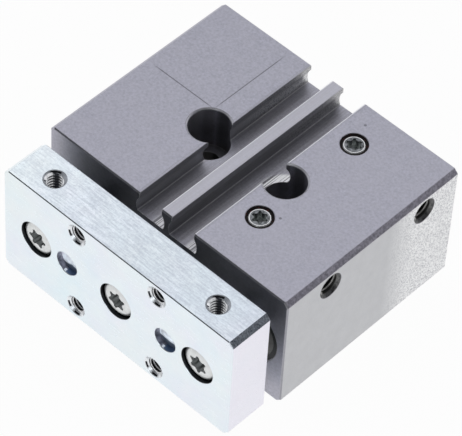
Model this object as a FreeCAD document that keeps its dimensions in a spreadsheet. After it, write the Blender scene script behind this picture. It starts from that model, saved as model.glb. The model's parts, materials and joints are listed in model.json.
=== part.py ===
import FreeCAD, Part
import os
import re
import Sketcher
from FreeCAD import Placement, Rotation, Vector

# Guided pneumatic cylinder, 12 mm bore and 10 mm stroke, with recirculating-ball guides.
# Frame: millimetres. The origin is the centre of the housing's bottom mounting face, +X runs
# across the width, +Z is up and the yoke plate advances along -Y.

SIZES = {
    # housing extrusion
    "housing_width": 58.0,
    "housing_length": 44.4,
    "housing_height": 27.3,
    "housing_chamfer": 0.9,
    "edge_break": 0.25,
    # pair of sensor slots in the top face
    "slot_pitch": 7.9,
    "slot_opening": 5.4,
    "slot_floor_width": 6.2,
    "slot_side_radius": 3.5,
    "slot_lip": 1.3,
    "slot_depth": 4.85,
    # counterbored through holes for mounting from above
    "mount_pitch": 18.5,
    "mount_setback": 20.4,
    "mount_hole_diameter": 4.3,
    "counterbore_diameter": 8.0,
    "counterbore_depth": 9.5,
    "counterbore_chamfer": 0.3,
    # holes for centring sleeves, in the bottom face and in the yoke
    "centring_diameter": 5.0,
    "centring_depth": 1.3,
    "centring_chamfer": 0.12,
    # compressed-air ports, M5
    "port_diameter": 4.2,
    "port_sink": 0.625,
    "port_thread_depth": 5.5,
    "port_channel_diameter": 3.0,
    "port_drop": 4.0,
    "front_port_setback": 11.1,
    "rear_port_setback": 8.8,
    "blank_port_offset": 11.85,
    "blank_port_overrun": 0.1,
    "passage_diameter": 1.6,
    "passage_margin": 0.1,
    # cylinder bore with its cap seats, guide bores
    "bore_diameter": 12.0,
    "cap_seat_step": 1.0,
    "guide_pitch": 39.8,
    "wiper_seat_step": 0.2,
    "wiper_seat_depth": 3.0,
    "guide_ring_setback": 5.3,
    # internal retaining rings, shared by the caps and the guides
    "ring_setback": 0.5,
    "ring_thickness": 1.0,
    "ring_play": 0.05,
    "ring_groove_depth": 0.3,
    "ring_width": 1.2,
    "ring_gap": 3.4,
    "ring_lug_diameter": 2.3,
    "ring_eye_diameter": 1.1,
    # cylinder: rod, piston, seals
    "stroke": 10.0,
    "piston_rod_diameter": 6.0,
    "rod_spigot_diameter": 4.0,
    "piston_end_play": 0.1,
    "piston_clearance": 0.1,
    "magnet_length": 3.0,
    "piston_disc_difference": 0.7,
    "magnet_play": 0.6,
    "wear_band_thickness": 0.64,
    "wear_band_length": 2.6,
    "piston_seal_depth": 1.6,
    "piston_seal_length": 1.7,
    "piston_seal_setback": 1.2,
    "nut_flats": 7.0,
    "nut_height": 2.2,
    "nut_play": 0.16,
    "nut_sink": 0.3,
    "cushion_thickness": 1.0,
    "cushion_proud": 0.6,
    "cushion_margin": 0.4,
    "cushion_width": 1.2,
    # front cap with its rod seal and plain bush
    "rod_seal_width": 1.6,
    "rod_seal_length": 2.8,
    "rod_seal_setback": 0.6,
    "rod_bush_wall": 1.0,
    "rod_bush_length": 3.6,
    "rod_bush_setback": 4.2,
    "cap_ring_section": 0.94,
    "cap_ring_play": 0.04,
    "cap_ring_setback": 5.0,
    "rear_cap_ring_setback": 2.4,
    "rear_cap_relief_margin": 0.9,
    "rear_cap_relief_depth": 3.0,
    # guides: rods, ball bushings and wipers
    "guide_rod_diameter": 8.0,
    "guide_rod_end_setback": 1.0,
    "rod_chamfer": 0.5,
    "bushing_wall": 1.42,
    "bushing_gap": 1.0,
    "bushing_end_lip": 0.9,
    "cage_thickness": 1.05,
    "cage_rod_gap": 0.25,
    "ball_diameter": 1.5,
    "ball_spacing": 2.4,
    "cage_slot_width": 1.7,
    "wiper_recess": 0.3,
    "wiper_play": 0.3,
    "wiper_throat_play": 0.8,
    "wiper_lip_length": 0.7,
    "wiper_collar_width": 1.5,
    "wiper_collar_slope": 0.8,
    "wiper_collar_height": 0.7,
    # yoke plate
    "yoke_side_inset": 1.05,
    "yoke_edge_inset": 0.95,
    "yoke_thickness": 9.3,
    "yoke_gap": 3.1,
    "yoke_chamfer": 1.05,
    "yoke_edge_break": 0.15,
    "yoke_thread_pitch": 19.5,
    "yoke_thread_edge": 2.95,
    "yoke_thread_diameter": 3.3,
    "yoke_thread_sink": 0.6,
    "yoke_centring_pitch": 24.3,
    "yoke_edge_hole_depth": 7.0,
    "yoke_screw_mouth_chamfer": 0.12,
    "rod_socket_depth": 1.5,
    # yoke screws, M4 with a low crowned head and a star socket
    "screw_diameter": 4.0,
    "screw_length": 12.0,
    "screw_head_diameter": 7.0,
    "screw_head_height": 3.6,
    "screw_head_crown": 0.5,
    "screw_crown_flat": 4.2,
    "screw_recess": 0.3,
    "screw_head_play": 0.25,
    "screw_shank_play": 0.25,
    "screw_hole_margin": 1.5,
    "screw_tip_chamfer": 0.5,
    "star_across": 4.05,
    "star_depth": 2.1,
    # blanking plugs, M5 grub screws with a star socket
    "plug_length": 3.0,
    "plug_recess": 0.15,
    "plug_edge": 0.3,
    "plug_star_across": 3.05,
    "plug_star_depth": 1.5,
    # shape of a star socket, as shares of its size across the points
    "star_ring_share": 0.44,
    "star_point_share": 0.0945,
    "star_valley_share": 0.177,
    "star_point_half_angle": 12.0,
    # fits, on the radius
    "fit_clearance": 0.02,
    "running_clearance": 0.04,
}

DRILL_POINT_ANGLE = 118.0
GUIDE_SIDES = {"left": -1, "right": 1}
SCREW_SIDES = {"left": -1, "middle": 0, "right": 1}
BALL_ROWS = 4
BALLS_PER_ROW = 4

# places that several pieces share, as formulas in the sizes above
FRONT = "(-housing_length / 2)"
REAR = "(housing_length / 2)"
MID = "(housing_height / 2)"
TOP = "housing_height"
PORT_HEIGHT = "(housing_height - port_drop)"
MOUNT_ROW = f"({FRONT} + mount_setback)"
FRONT_PORT = f"({FRONT} + front_port_setback)"
REAR_PORT = f"({REAR} - rear_port_setback)"
FRONT_SHOULDER = f"({FRONT_PORT} - passage_diameter / 2 - passage_margin)"
REAR_SHOULDER = f"({REAR_PORT} + passage_diameter / 2 + passage_margin)"
GROOVE_WIDTH = "(ring_thickness + 2 * ring_play)"
PORT_MOUTH = "(port_diameter / 2 + port_sink)"
CAP_SEAT = "(bore_diameter / 2 + cap_seat_step)"
BALL_RING = "(guide_rod_diameter / 2 + running_clearance + ball_diameter / 2)"
BALL_TRACK = f"({BALL_RING} + ball_diameter / 2 + fit_clearance)"
BUSHING_OUTER = f"({BALL_TRACK} + bushing_wall)"
GUIDE_SEAT = f"({BUSHING_OUTER} + fit_clearance)"
WIPER_SEAT = f"({GUIDE_SEAT} + wiper_seat_step)"
FRONT_CAP_FACE = f"({FRONT} + ring_setback + {GROOVE_WIDTH})"
REAR_CAP_FACE = f"({REAR} - ring_setback - {GROOVE_WIDTH})"
YOKE_REAR = f"({FRONT} - yoke_gap)"
YOKE_FRONT = f"({YOKE_REAR} - yoke_thickness)"
YOKE_MIDDLE = f"({YOKE_REAR} - yoke_thickness / 2)"
YOKE_TOP = "(housing_height - yoke_edge_inset)"
ROD_FRONT = f"({YOKE_REAR} - rod_socket_depth)"
SCREW_FACE = f"({YOKE_FRONT} + screw_recess)"
SCREW_SEAT = f"({SCREW_FACE} + screw_head_height)"
PISTON_REAR = f"({REAR_SHOULDER} - cushion_proud - piston_end_play)"
PISTON_FRONT = f"({FRONT_SHOULDER} + cushion_proud + piston_end_play + stroke)"
NUT_SEAT = f"({PISTON_REAR} - nut_sink - nut_height)"
DISCS_LENGTH = f"({PISTON_REAR} - {PISTON_FRONT} - magnet_length)"
MAGNET_REAR = f"({PISTON_REAR} - ({DISCS_LENGTH} + piston_disc_difference) / 2)"
MAGNET_FRONT = f"({MAGNET_REAR} - magnet_length)"
BUSHINGS_FRONT = f"({FRONT} + wiper_seat_depth)"
BUSHINGS_REAR = f"({REAR} - guide_ring_setback - {GROOVE_WIDTH})"
BUSHING_LENGTH = f"(({BUSHINGS_REAR} - {BUSHINGS_FRONT} - bushing_gap) / 2)"
CUSHION_OUTER = "(bore_diameter / 2 - cushion_margin)"
CUSHION_INNER = f"({CUSHION_OUTER} - cushion_width)"
ROD_SEAL_OUTER = "(piston_rod_diameter / 2 + rod_seal_width)"
ROD_BUSH_OUTER = "(piston_rod_diameter / 2 + rod_bush_wall)"
MAGNET_OUTER = "(bore_diameter / 2 - running_clearance - wear_band_thickness - fit_clearance)"
NUT_CORNER = "(nut_flats / (2 * cos(30)))"
YOKE_HALF_WIDTH = "(housing_width / 2 - yoke_side_inset)"
YOKE_BOTTOM = "yoke_edge_inset"
YOKE_HALF_HEIGHT = "(housing_height / 2 - yoke_edge_inset)"

doc = FreeCAD.newDocument("guided_cylinder")
sheet = doc.addObject("Spreadsheet::Sheet", "sizes")
pieces = []


def fill_sheet():
    """Write the driving dimensions as plain numbers, one named cell each."""
    for row, (name, size) in enumerate(SIZES.items(), start=1):
        sheet.set(f"A{row}", name)
        sheet.set(f"B{row}", str(size))
        sheet.setAlias(f"B{row}", name)
    doc.recompute()


def formula(text):
    """Point every size name in a formula at its cell in the sheet."""
    return re.sub(r"[a-z]\w+", lambda word: f"sizes.{word[0]}" if word[0] in SIZES else word[0], text)


def number(text):
    """Present value of a formula."""
    return float(sheet.evalExpression(formula(text)))


def bind(target, prop, text):
    """Keep a property equal to a formula."""
    target.setExpression(prop, formula(text))


def new_body(label):
    """Empty body for one piece."""
    body = doc.addObject("PartDesign::Body", label)
    body.Label = label
    return body


def keep(piece):
    """Mark a finished object as one of the exported sub-parts."""
    pieces.append(piece)
    return piece


def group(label, members):
    """Several like solids that share one sub-part."""
    compound = doc.addObject("Part::Compound", label)
    compound.Label = label
    compound.Links = members
    return keep(compound)


def sketch_on(body, name, plane, across="0", up="0", along="0", turn=None):
    """Sketch on one of the body's own planes, shifted in the plane and along its normal."""
    sketch = body.newObject("Sketcher::SketchObject", name)
    support = next(item for item in body.Origin.OriginFeatures if item.Role == plane)
    sketch.AttachmentSupport = (support, [""])
    sketch.MapMode = "FlatFace"
    if turn:
        sketch.AttachmentOffset = Placement(Vector(), Rotation(Vector(0, 0, 1), number(turn)))
        bind(sketch, "AttachmentOffset.Rotation.Angle", turn)
    for axis, text in (("x", across), ("y", up), ("z", along)):
        if text != "0":
            bind(sketch, f"AttachmentOffset.Base.{axis}", text)
    return sketch


def pin(sketch, geometry, point, x, y):
    """Tie a point of a sketch to two formulas."""
    for kind, text in (("DistanceX", x), ("DistanceY", y)):
        index = sketch.addConstraint(Sketcher.Constraint(kind, -1, 1, geometry, point, number(text)))
        bind(sketch, f"Constraints[{index}]", text)


def size_radius(sketch, geometry, text):
    """Tie the radius of an arc or circle to a formula."""
    index = sketch.addConstraint(Sketcher.Constraint("Radius", geometry, number(text)))
    bind(sketch, f"Constraints[{index}]", text)


def arc_between(start, end, radius, centre_left):
    """Minor arc from start to end, with its centre to the left or right of the way."""
    way = end - start
    side = 1 if centre_left else -1
    leftward = Vector(-way.y, way.x, 0).normalize()
    reach = (radius**2 - (way.Length / 2) ** 2) ** 0.5
    centre = (start + end) * 0.5 + leftward * (side * reach)
    first, last = (start, end) if centre_left else (end, start)
    circle = Part.Circle(centre, Vector(0, 0, 1), radius)
    return Part.ArcOfCircle(circle, circle.parameter(first), circle.parameter(last))


def draw_outline(sketch, corners, arcs=None):
    """Closed outline whose corners are pinned by formulas.

    arcs maps the number of the corner that an arc leaves to its radius and to whether its
    centre lies left of the way along the outline.
    """
    arcs = arcs or {}
    points = [Vector(number(x), number(y), 0) for x, y in corners]
    first_geometry = sketch.GeometryCount
    ends = []
    for index, start in enumerate(points):
        end = points[(index + 1) % len(points)]
        if index in arcs:
            radius, centre_left = arcs[index]
            sketch.addGeometry(arc_between(start, end, number(radius), centre_left))
            ends.append((1, 2) if centre_left else (2, 1))
        else:
            sketch.addGeometry(Part.LineSegment(start, end))
            ends.append((1, 2))
    for index, (x, y) in enumerate(corners):
        following = (index + 1) % len(corners)
        here, there = first_geometry + index, first_geometry + following
        sketch.addConstraint(Sketcher.Constraint("Coincident", here, ends[index][1], there, ends[following][0]))
        pin(sketch, here, ends[index][0], x, y)
        if index in arcs:
            size_radius(sketch, here, arcs[index][0])


def draw_chamfered_rectangle(sketch, half_width, bottom, top, chamfer):
    """Upright rectangle about the sketch's vertical axis with its four corners cut off."""
    draw_outline(
        sketch,
        [
            (f"-{half_width} + {chamfer}", bottom),
            (f"{half_width} - {chamfer}", bottom),
            (half_width, f"{bottom} + {chamfer}"),
            (half_width, f"{top} - {chamfer}"),
            (f"{half_width} - {chamfer}", top),
            (f"-{half_width} + {chamfer}", top),
            (f"-{half_width}", f"{top} - {chamfer}"),
            (f"-{half_width}", f"{bottom} + {chamfer}"),
        ],
    )


def draw_circle(sketch, x, y, radius):
    """Circle with its centre and radius tied to formulas."""
    circle = Part.Circle(Vector(number(x), number(y), 0), Vector(0, 0, 1), number(radius))
    index = sketch.addGeometry(circle)
    pin(sketch, index, 3, x, y)
    size_radius(sketch, index, radius)


def star_outline(across):
    """Corners and arcs of a six-pointed star socket, for draw_outline."""
    ring = f"({across} * star_ring_share)"
    corners = []
    arcs = {}
    for point in range(6):
        for sign in (-1, 1):
            angle = f"({60 * point} + {sign} * star_point_half_angle)"
            corners.append((f"{ring} * cos({angle})", f"{ring} * sin({angle})"))
        arcs[2 * point] = (f"{across} * star_point_share", True)
        arcs[2 * point + 1] = (f"{across} * star_valley_share", False)
    return corners, arcs


def axis_sketch(body, name, axis, x, place):
    """Sketch whose upright axis is a turning axis along Y or Z.

    x is the axis's place across the width. place is its height for a Y axis, and its
    position along Y for a Z axis.
    """
    if axis == "Y":
        return sketch_on(body, name, "XY_Plane", across=x, along=place)
    return sketch_on(body, name, "XZ_Plane", across=x, along=f"-({place})")


def turn_feature(body, kind, sketch, axis_name="V_Axis"):
    """Full revolution or groove of a sketch about its own axis."""
    feature = body.newObject(f"PartDesign::{kind}", f"{sketch.Name}_{kind.lower()}")
    feature.Profile = sketch
    feature.ReferenceAxis = (sketch, [axis_name])
    feature.Angle = 360
    return feature


def turned(label, axis, x, place, corners, arcs=None):
    """Body turned from a half section of (radius, position along the axis) corners."""
    body = new_body(label)
    sketch = axis_sketch(body, f"{label}_section", axis, x, place)
    draw_outline(sketch, corners, arcs)
    turn_feature(body, "Revolution", sketch)
    return body


def bore(body, name, axis, x, place, corners):
    """Stepped round hole, cut as a groove from its half section."""
    sketch = axis_sketch(body, name, axis, x, place)
    draw_outline(sketch, corners)
    return turn_feature(body, "Groove", sketch)


def pad(body, sketch, length, symmetric=False, reverse=False):
    """Extrusion of a sketch along its normal."""
    feature = body.newObject("PartDesign::Pad", f"{sketch.Name}_pad")
    feature.Profile = sketch
    bind(feature, "Length", length)
    feature.Midplane = symmetric
    feature.Reversed = reverse
    return feature


def pocket(body, sketch, depth, reverse=False):
    """Cut that goes from a sketch into the solid, against the sketch's normal."""
    feature = body.newObject("PartDesign::Pocket", f"{sketch.Name}_pocket")
    feature.Profile = sketch
    bind(feature, "Length", depth)
    feature.Reversed = reverse
    return feature


def break_end_edges(body, size):
    """Small chamfer round the two end faces of an extrusion along Y."""
    doc.recompute()
    extrusion = body.Tip
    ends = []
    for index, face in enumerate(extrusion.Shape.Faces, start=1):
        if abs(face.normalAt(0, 0).y) > 0.99:
            ends.append(f"Face{index}")
    chamfer = body.newObject("PartDesign::Chamfer", f"{body.Name}_edge_break")
    chamfer.Base = (extrusion, ends)
    bind(chamfer, "Size", size)
    return chamfer


def tapped_holes(body, name, sketch, depth=None):
    """M4 core holes with a countersunk mouth, through the solid where no depth is given."""
    hole = body.newObject("PartDesign::Hole", name)
    hole.Profile = sketch
    doc.recompute()
    hole.Threaded = False
    hole.HoleCutType = "Countersink"
    hole.HoleCutCustomValues = True
    bind(hole, "Diameter", "yoke_thread_diameter")
    bind(hole, "HoleCutDiameter", "yoke_thread_diameter + 2 * yoke_thread_sink")
    hole.HoleCutCountersinkAngle = 90
    if depth:
        hole.DepthType = "Dimension"
        bind(hole, "Depth", depth)
        hole.DrillPoint = "Angled"
        hole.DrillPointAngle = DRILL_POINT_ANGLE
    else:
        hole.DepthType = "ThroughAll"
    return hole


def slot_outline(sketch, centre):
    """Undercut slot, walked from its right-hand edge above the top face to its left-hand one."""
    lip_level = f"{TOP} - slot_lip"
    floor_level = f"{TOP} - slot_depth"
    over_top = f"{TOP} + slot_lip"
    corners = [
        (f"{centre} + slot_opening / 2", over_top),
        (f"{centre} + slot_opening / 2", lip_level),
        (f"{centre} + slot_floor_width / 2", floor_level),
        (f"{centre} - slot_floor_width / 2", floor_level),
        (f"{centre} - slot_opening / 2", lip_level),
        (f"{centre} - slot_opening / 2", over_top),
    ]
    undercuts = {1: ("slot_side_radius", False), 3: ("slot_side_radius", False)}
    draw_outline(sketch, corners, undercuts)


def housing_extrusion(body):
    """Chamfered block with two sensor slots and a rib between them."""
    block = sketch_on(body, "block_section", "XZ_Plane")
    draw_chamfered_rectangle(block, "housing_width / 2", "0", TOP, "housing_chamfer")
    pad(body, block, "housing_length", symmetric=True)
    break_end_edges(body, "edge_break")
    for side, sign in GUIDE_SIDES.items():
        slot = sketch_on(body, f"slot_section_{side}", "XZ_Plane")
        slot_outline(slot, f"{sign} * slot_pitch / 2")
        cut = pocket(body, slot, "2 * housing_length")
        cut.Midplane = True


def cylinder_bore(body):
    """Bore with a seat and a retaining-ring groove for a cap at each end."""
    seat = CAP_SEAT
    groove = f"({seat} + ring_groove_depth)"
    corners = [
        ("0", FRONT),
        (f"{seat} + edge_break", FRONT),
        (seat, f"{FRONT} + edge_break"),
        (seat, f"{FRONT} + ring_setback"),
        (groove, f"{FRONT} + ring_setback"),
        (groove, FRONT_CAP_FACE),
        (seat, FRONT_CAP_FACE),
        (seat, FRONT_SHOULDER),
        ("bore_diameter / 2", FRONT_SHOULDER),
        ("bore_diameter / 2", REAR_SHOULDER),
        (seat, REAR_SHOULDER),
        (seat, REAR_CAP_FACE),
        (groove, REAR_CAP_FACE),
        (groove, f"{REAR} - ring_setback"),
        (seat, f"{REAR} - ring_setback"),
        (seat, f"{REAR} - edge_break"),
        (f"{seat} + edge_break", REAR),
        ("0", REAR),
    ]
    bore(body, "cylinder_bore", "Y", "0", MID, corners)


def guide_bore(body, side, sign):
    """Through bore for two ball bushings, with a wiper seat in front and a ring groove behind."""
    seat = GUIDE_SEAT
    groove = f"({seat} + ring_groove_depth)"
    corners = [
        ("0", FRONT),
        (f"{WIPER_SEAT} + edge_break", FRONT),
        (WIPER_SEAT, f"{FRONT} + edge_break"),
        (WIPER_SEAT, BUSHINGS_FRONT),
        (seat, BUSHINGS_FRONT),
        (seat, BUSHINGS_REAR),
        (groove, BUSHINGS_REAR),
        (groove, f"{BUSHINGS_REAR} + {GROOVE_WIDTH}"),
        (seat, f"{BUSHINGS_REAR} + {GROOVE_WIDTH}"),
        (seat, f"{REAR} - edge_break"),
        (f"{seat} + edge_break", REAR),
        ("0", REAR),
    ]
    bore(body, f"guide_bore_{side}", "Y", f"{sign} * guide_pitch / 2", MID, corners)


def mounting_holes(body, side, sign):
    """Counterbored through hole and, on the bottom face, a shallow centring hole."""
    corners = [
        ("0", TOP),
        ("counterbore_diameter / 2 + counterbore_chamfer", TOP),
        ("counterbore_diameter / 2", f"{TOP} - counterbore_chamfer"),
        ("counterbore_diameter / 2", f"{TOP} - counterbore_depth"),
        ("mount_hole_diameter / 2", f"{TOP} - counterbore_depth"),
        ("mount_hole_diameter / 2", "0"),
        ("0", "0"),
    ]
    bore(body, f"mounting_hole_{side}", "Z", f"{sign} * mount_pitch / 2", MOUNT_ROW, corners)
    centring = [
        ("0", "0"),
        ("centring_diameter / 2 + centring_chamfer", "0"),
        ("centring_diameter / 2", "centring_chamfer"),
        ("centring_diameter / 2", "centring_depth"),
        ("0", "centring_depth"),
    ]
    bore(body, f"bottom_centring_{side}", "Z", f"{sign} * guide_pitch / 2", MOUNT_ROW, centring)


def air_port(body, end, place):
    """Side port, plugged top port and the slanted passage from both into the bore."""
    face = "housing_width / 2"
    channel_end = "blank_port_offset - port_channel_diameter / 2"
    side_port = sketch_on(body, f"{end}_side_port", "XY_Plane", up=place, along=PORT_HEIGHT)
    corners = [
        (face, "0"),
        (face, PORT_MOUTH),
        (f"{face} - port_sink", "port_diameter / 2"),
        (f"{face} - port_thread_depth", "port_diameter / 2"),
        (f"{face} - port_thread_depth", "port_channel_diameter / 2"),
        (channel_end, "port_channel_diameter / 2"),
        (channel_end, "0"),
    ]
    draw_outline(side_port, corners)
    turn_feature(body, "Groove", side_port, "H_Axis")

    blank_floor = f"({PORT_HEIGHT} - port_channel_diameter / 2 - blank_port_overrun)"
    top_port = [
        ("0", TOP),
        (PORT_MOUTH, TOP),
        ("port_diameter / 2", f"{TOP} - port_sink"),
        ("port_diameter / 2", blank_floor),
        ("0", blank_floor),
    ]
    bore(body, f"{end}_top_port", "Z", "blank_port_offset", place, top_port)

    slant = f"-atan2(blank_port_offset; {PORT_HEIGHT} - {MID})"
    reach = f"hypot(blank_port_offset; {PORT_HEIGHT} - {MID})"
    passage = sketch_on(
        body, f"{end}_passage", "XZ_Plane", up=MID, along=f"-({place})", turn=slant
    )
    corners = [
        ("0", "bore_diameter / 2 - passage_diameter / 2"),
        ("passage_diameter / 2", "bore_diameter / 2 - passage_diameter / 2"),
        ("passage_diameter / 2", reach),
        ("0", reach),
    ]
    draw_outline(passage, corners)
    turn_feature(body, "Groove", passage)


def make_housing():
    """Anodised aluminium housing that carries the cylinder, the guides and the ports."""
    body = new_body("housing")
    housing_extrusion(body)
    cylinder_bore(body)
    for side, sign in GUIDE_SIDES.items():
        guide_bore(body, side, sign)
        mounting_holes(body, side, sign)
    air_port(body, "front", FRONT_PORT)
    air_port(body, "rear", REAR_PORT)
    keep(body)


def cap_ring_groove(radius, centre):
    """Corners of a groove for a cap's O-ring, in a cap's outer surface, walked along +Y."""
    bottom = f"({CAP_SEAT} - fit_clearance - cap_ring_section - cap_ring_play)"
    half_width = "(cap_ring_section / 2 + cap_ring_play)"
    return [
        (radius, f"{centre} - {half_width}"),
        (bottom, f"{centre} - {half_width}"),
        (bottom, f"{centre} + {half_width}"),
        (radius, f"{centre} + {half_width}"),
    ]


def make_cap_ring(label, centre):
    """O-ring that seals a cap in its seat."""
    ring = doc.addObject("Part::Torus", label)
    ring.Label = label
    bind(ring, "Radius1", f"{CAP_SEAT} - fit_clearance - cap_ring_section / 2")
    bind(ring, "Radius2", "cap_ring_section / 2")
    ring.Placement = Placement(Vector(), Rotation(Vector(1, 0, 0), 90))
    bind(ring, "Placement.Base.y", centre)
    bind(ring, "Placement.Base.z", MID)
    keep(ring)


def make_cushion(label, seat, outward):
    """Rubber stop ring let into a cap's inner face. outward is -1 in front and 1 behind."""
    inner = f"{CUSHION_INNER} + fit_clearance"
    outer = f"{CUSHION_OUTER} - fit_clearance"
    proud = f"{seat} - ({outward}) * cushion_proud"
    sunk = f"{seat} + ({outward}) * (cushion_thickness - cushion_proud)"
    corners = [(inner, proud), (outer, proud), (outer, sunk), (inner, sunk)]
    keep(turned(label, "Y", "0", MID, corners))


def make_front_cap():
    """Bearing cap that closes the bore in front and guides the piston rod."""
    outer = f"({CAP_SEAT} - fit_clearance)"
    rod_hole = "(piston_rod_diameter / 2 + 3 * running_clearance)"
    seal_front = f"({FRONT_CAP_FACE} + rod_seal_setback)"
    seal_rear = f"({seal_front} + rod_seal_length)"
    bush_front = f"({FRONT_CAP_FACE} + rod_bush_setback)"
    bush_rear = f"({bush_front} + rod_bush_length)"
    ring_centre = f"({FRONT_CAP_FACE} + cap_ring_setback)"
    cushion_floor = f"({FRONT_SHOULDER} - cushion_thickness + cushion_proud)"
    corners = [
        (rod_hole, FRONT_CAP_FACE),
        (f"{outer} - rod_chamfer", FRONT_CAP_FACE),
        (outer, f"{FRONT_CAP_FACE} + rod_chamfer"),
        *cap_ring_groove(outer, ring_centre),
        (outer, FRONT_SHOULDER),
        (CUSHION_OUTER, FRONT_SHOULDER),
        (CUSHION_OUTER, cushion_floor),
        (CUSHION_INNER, cushion_floor),
        (CUSHION_INNER, FRONT_SHOULDER),
        (rod_hole, FRONT_SHOULDER),
        (rod_hole, bush_rear),
        (ROD_BUSH_OUTER, bush_rear),
        (ROD_BUSH_OUTER, bush_front),
        (rod_hole, bush_front),
        (rod_hole, seal_rear),
        (ROD_SEAL_OUTER, seal_rear),
        (ROD_SEAL_OUTER, seal_front),
        (rod_hole, seal_front),
    ]
    keep(turned("front_cap", "Y", "0", MID, corners))
    make_cap_ring("front_cap_o_ring", ring_centre)
    make_cushion("front_cushion_ring", FRONT_SHOULDER, -1)

    bush = [
        ("piston_rod_diameter / 2 + running_clearance", bush_front),
        (f"{ROD_BUSH_OUTER} - fit_clearance", bush_front),
        (f"{ROD_BUSH_OUTER} - fit_clearance", bush_rear),
        ("piston_rod_diameter / 2 + running_clearance", bush_rear),
    ]
    keep(turned("rod_bush", "Y", "0", MID, bush))

    lip = "piston_rod_diameter / 2 + running_clearance"
    waist = "(piston_rod_diameter / 2 + rod_seal_width / 2)"
    seal = [
        (lip, seal_front),
        (f"{ROD_SEAL_OUTER} - fit_clearance", seal_front),
        (f"{ROD_SEAL_OUTER} - fit_clearance", seal_rear),
        (waist, seal_rear),
        (waist, f"{seal_rear} - rod_seal_length / 3"),
        (lip, f"{seal_rear} - rod_seal_length / 8"),
        (f"{lip} + 0.5 * ({waist} - ({lip}))", f"{seal_rear} - rod_seal_length / 2"),
    ]
    keep(turned("rod_seal", "Y", "0", MID, seal))


def make_rear_cap():
    """Blind cap that closes the bore behind."""
    outer = f"({CAP_SEAT} - fit_clearance)"
    ring_centre = f"({REAR_SHOULDER} + rear_cap_ring_setback)"
    cushion_floor = f"({REAR_SHOULDER} + cushion_thickness - cushion_proud)"
    corners = [
        ("0", f"{REAR_SHOULDER} + rear_cap_relief_depth"),
        (f"{CUSHION_INNER} - rear_cap_relief_margin", f"{REAR_SHOULDER} + rear_cap_relief_depth"),
        (f"{CUSHION_INNER} - rear_cap_relief_margin", REAR_SHOULDER),
        (CUSHION_INNER, REAR_SHOULDER),
        (CUSHION_INNER, cushion_floor),
        (CUSHION_OUTER, cushion_floor),
        (CUSHION_OUTER, REAR_SHOULDER),
        (outer, REAR_SHOULDER),
        *cap_ring_groove(outer, ring_centre),
        (outer, f"{REAR_CAP_FACE} - rod_chamfer"),
        (f"{outer} - rod_chamfer", REAR_CAP_FACE),
        ("0", REAR_CAP_FACE),
    ]
    keep(turned("rear_cap", "Y", "0", MID, corners))
    make_cap_ring("rear_cap_o_ring", ring_centre)
    make_cushion("rear_cushion_ring", REAR_SHOULDER, 1)


def retaining_ring(label, x, front, seat):
    """Internal retaining ring for a seat radius: an open band with two eyed lugs at the gap."""
    body = new_body(label)
    outer = f"({seat} + ring_groove_depth - fit_clearance)"
    inner = f"({outer} - ring_width)"
    band = sketch_on(body, f"{label}_band", "XZ_Plane", across=x, up=MID, along=f"-({front})")
    draw_circle(band, "0", "0", outer)
    draw_circle(band, "0", "0", inner)
    pad(body, band, "ring_thickness", reverse=True)
    lug_x = "(ring_gap / 2 + ring_lug_diameter / 2)"
    lug_ring = f"({outer} - 0.6 * ring_lug_diameter)"
    lug_y = f"(-sqrt({lug_ring} ^ 2 - {lug_x} ^ 2))"
    lugs = sketch_on(body, f"{label}_lugs", "XZ_Plane", across=x, up=MID, along=f"-({front})")
    for sign in (-1, 1):
        draw_circle(lugs, f"{sign} * {lug_x}", lug_y, "ring_lug_diameter / 2")
    pad(body, lugs, "ring_thickness", reverse=True)
    opening = sketch_on(body, f"{label}_gap", "XZ_Plane", across=x, up=MID, along=f"-({front})")
    draw_outline(
        opening,
        [
            ("-ring_gap / 2", f"-{outer} - ring_width"),
            ("ring_gap / 2", f"-{outer} - ring_width"),
            ("ring_gap / 2", f"-{inner} + 2 * ring_lug_diameter"),
            ("-ring_gap / 2", f"-{inner} + 2 * ring_lug_diameter"),
        ],
    )
    pocket(body, opening, "ring_thickness")
    eyes = sketch_on(body, f"{label}_eyes", "XZ_Plane", across=x, up=MID, along=f"-({front})")
    for sign in (-1, 1):
        draw_circle(eyes, f"{sign} * {lug_x}", lug_y, "ring_eye_diameter / 2")
    pocket(body, eyes, "ring_thickness")
    return body


def make_retaining_rings():
    """Rings behind both caps and behind the ball bushings."""
    front = f"({FRONT} + ring_setback + ring_play)"
    rear = f"({REAR} - ring_setback - ring_play - ring_thickness)"
    guide = f"({BUSHINGS_REAR} + ring_play)"
    group(
        "cap_retaining_rings",
        [
            retaining_ring("front_cap_ring", "0", front, CAP_SEAT),
            retaining_ring("rear_cap_ring", "0", rear, CAP_SEAT),
        ],
    )
    guide_rings = []
    for side, sign in GUIDE_SIDES.items():
        x = f"{sign} * guide_pitch / 2"
        guide_rings.append(retaining_ring(f"guide_ring_{side}", x, guide, GUIDE_SEAT))
    group("guide_retaining_rings", guide_rings)


def tapped_rod_end(diameter, thread):
    """Front end of a rod: chamfered face and a tapped hole, as (radius, y) corners."""
    hole_end = f"({SCREW_SEAT} + screw_length + screw_hole_margin)"
    return [
        ("0", hole_end),
        (f"{thread} / 2 + fit_clearance", hole_end),
        (f"{thread} / 2 + fit_clearance", ROD_FRONT),
        (f"{diameter} / 2 - rod_chamfer", ROD_FRONT),
        (f"{diameter} / 2", f"{ROD_FRONT} + rod_chamfer"),
    ]


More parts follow.
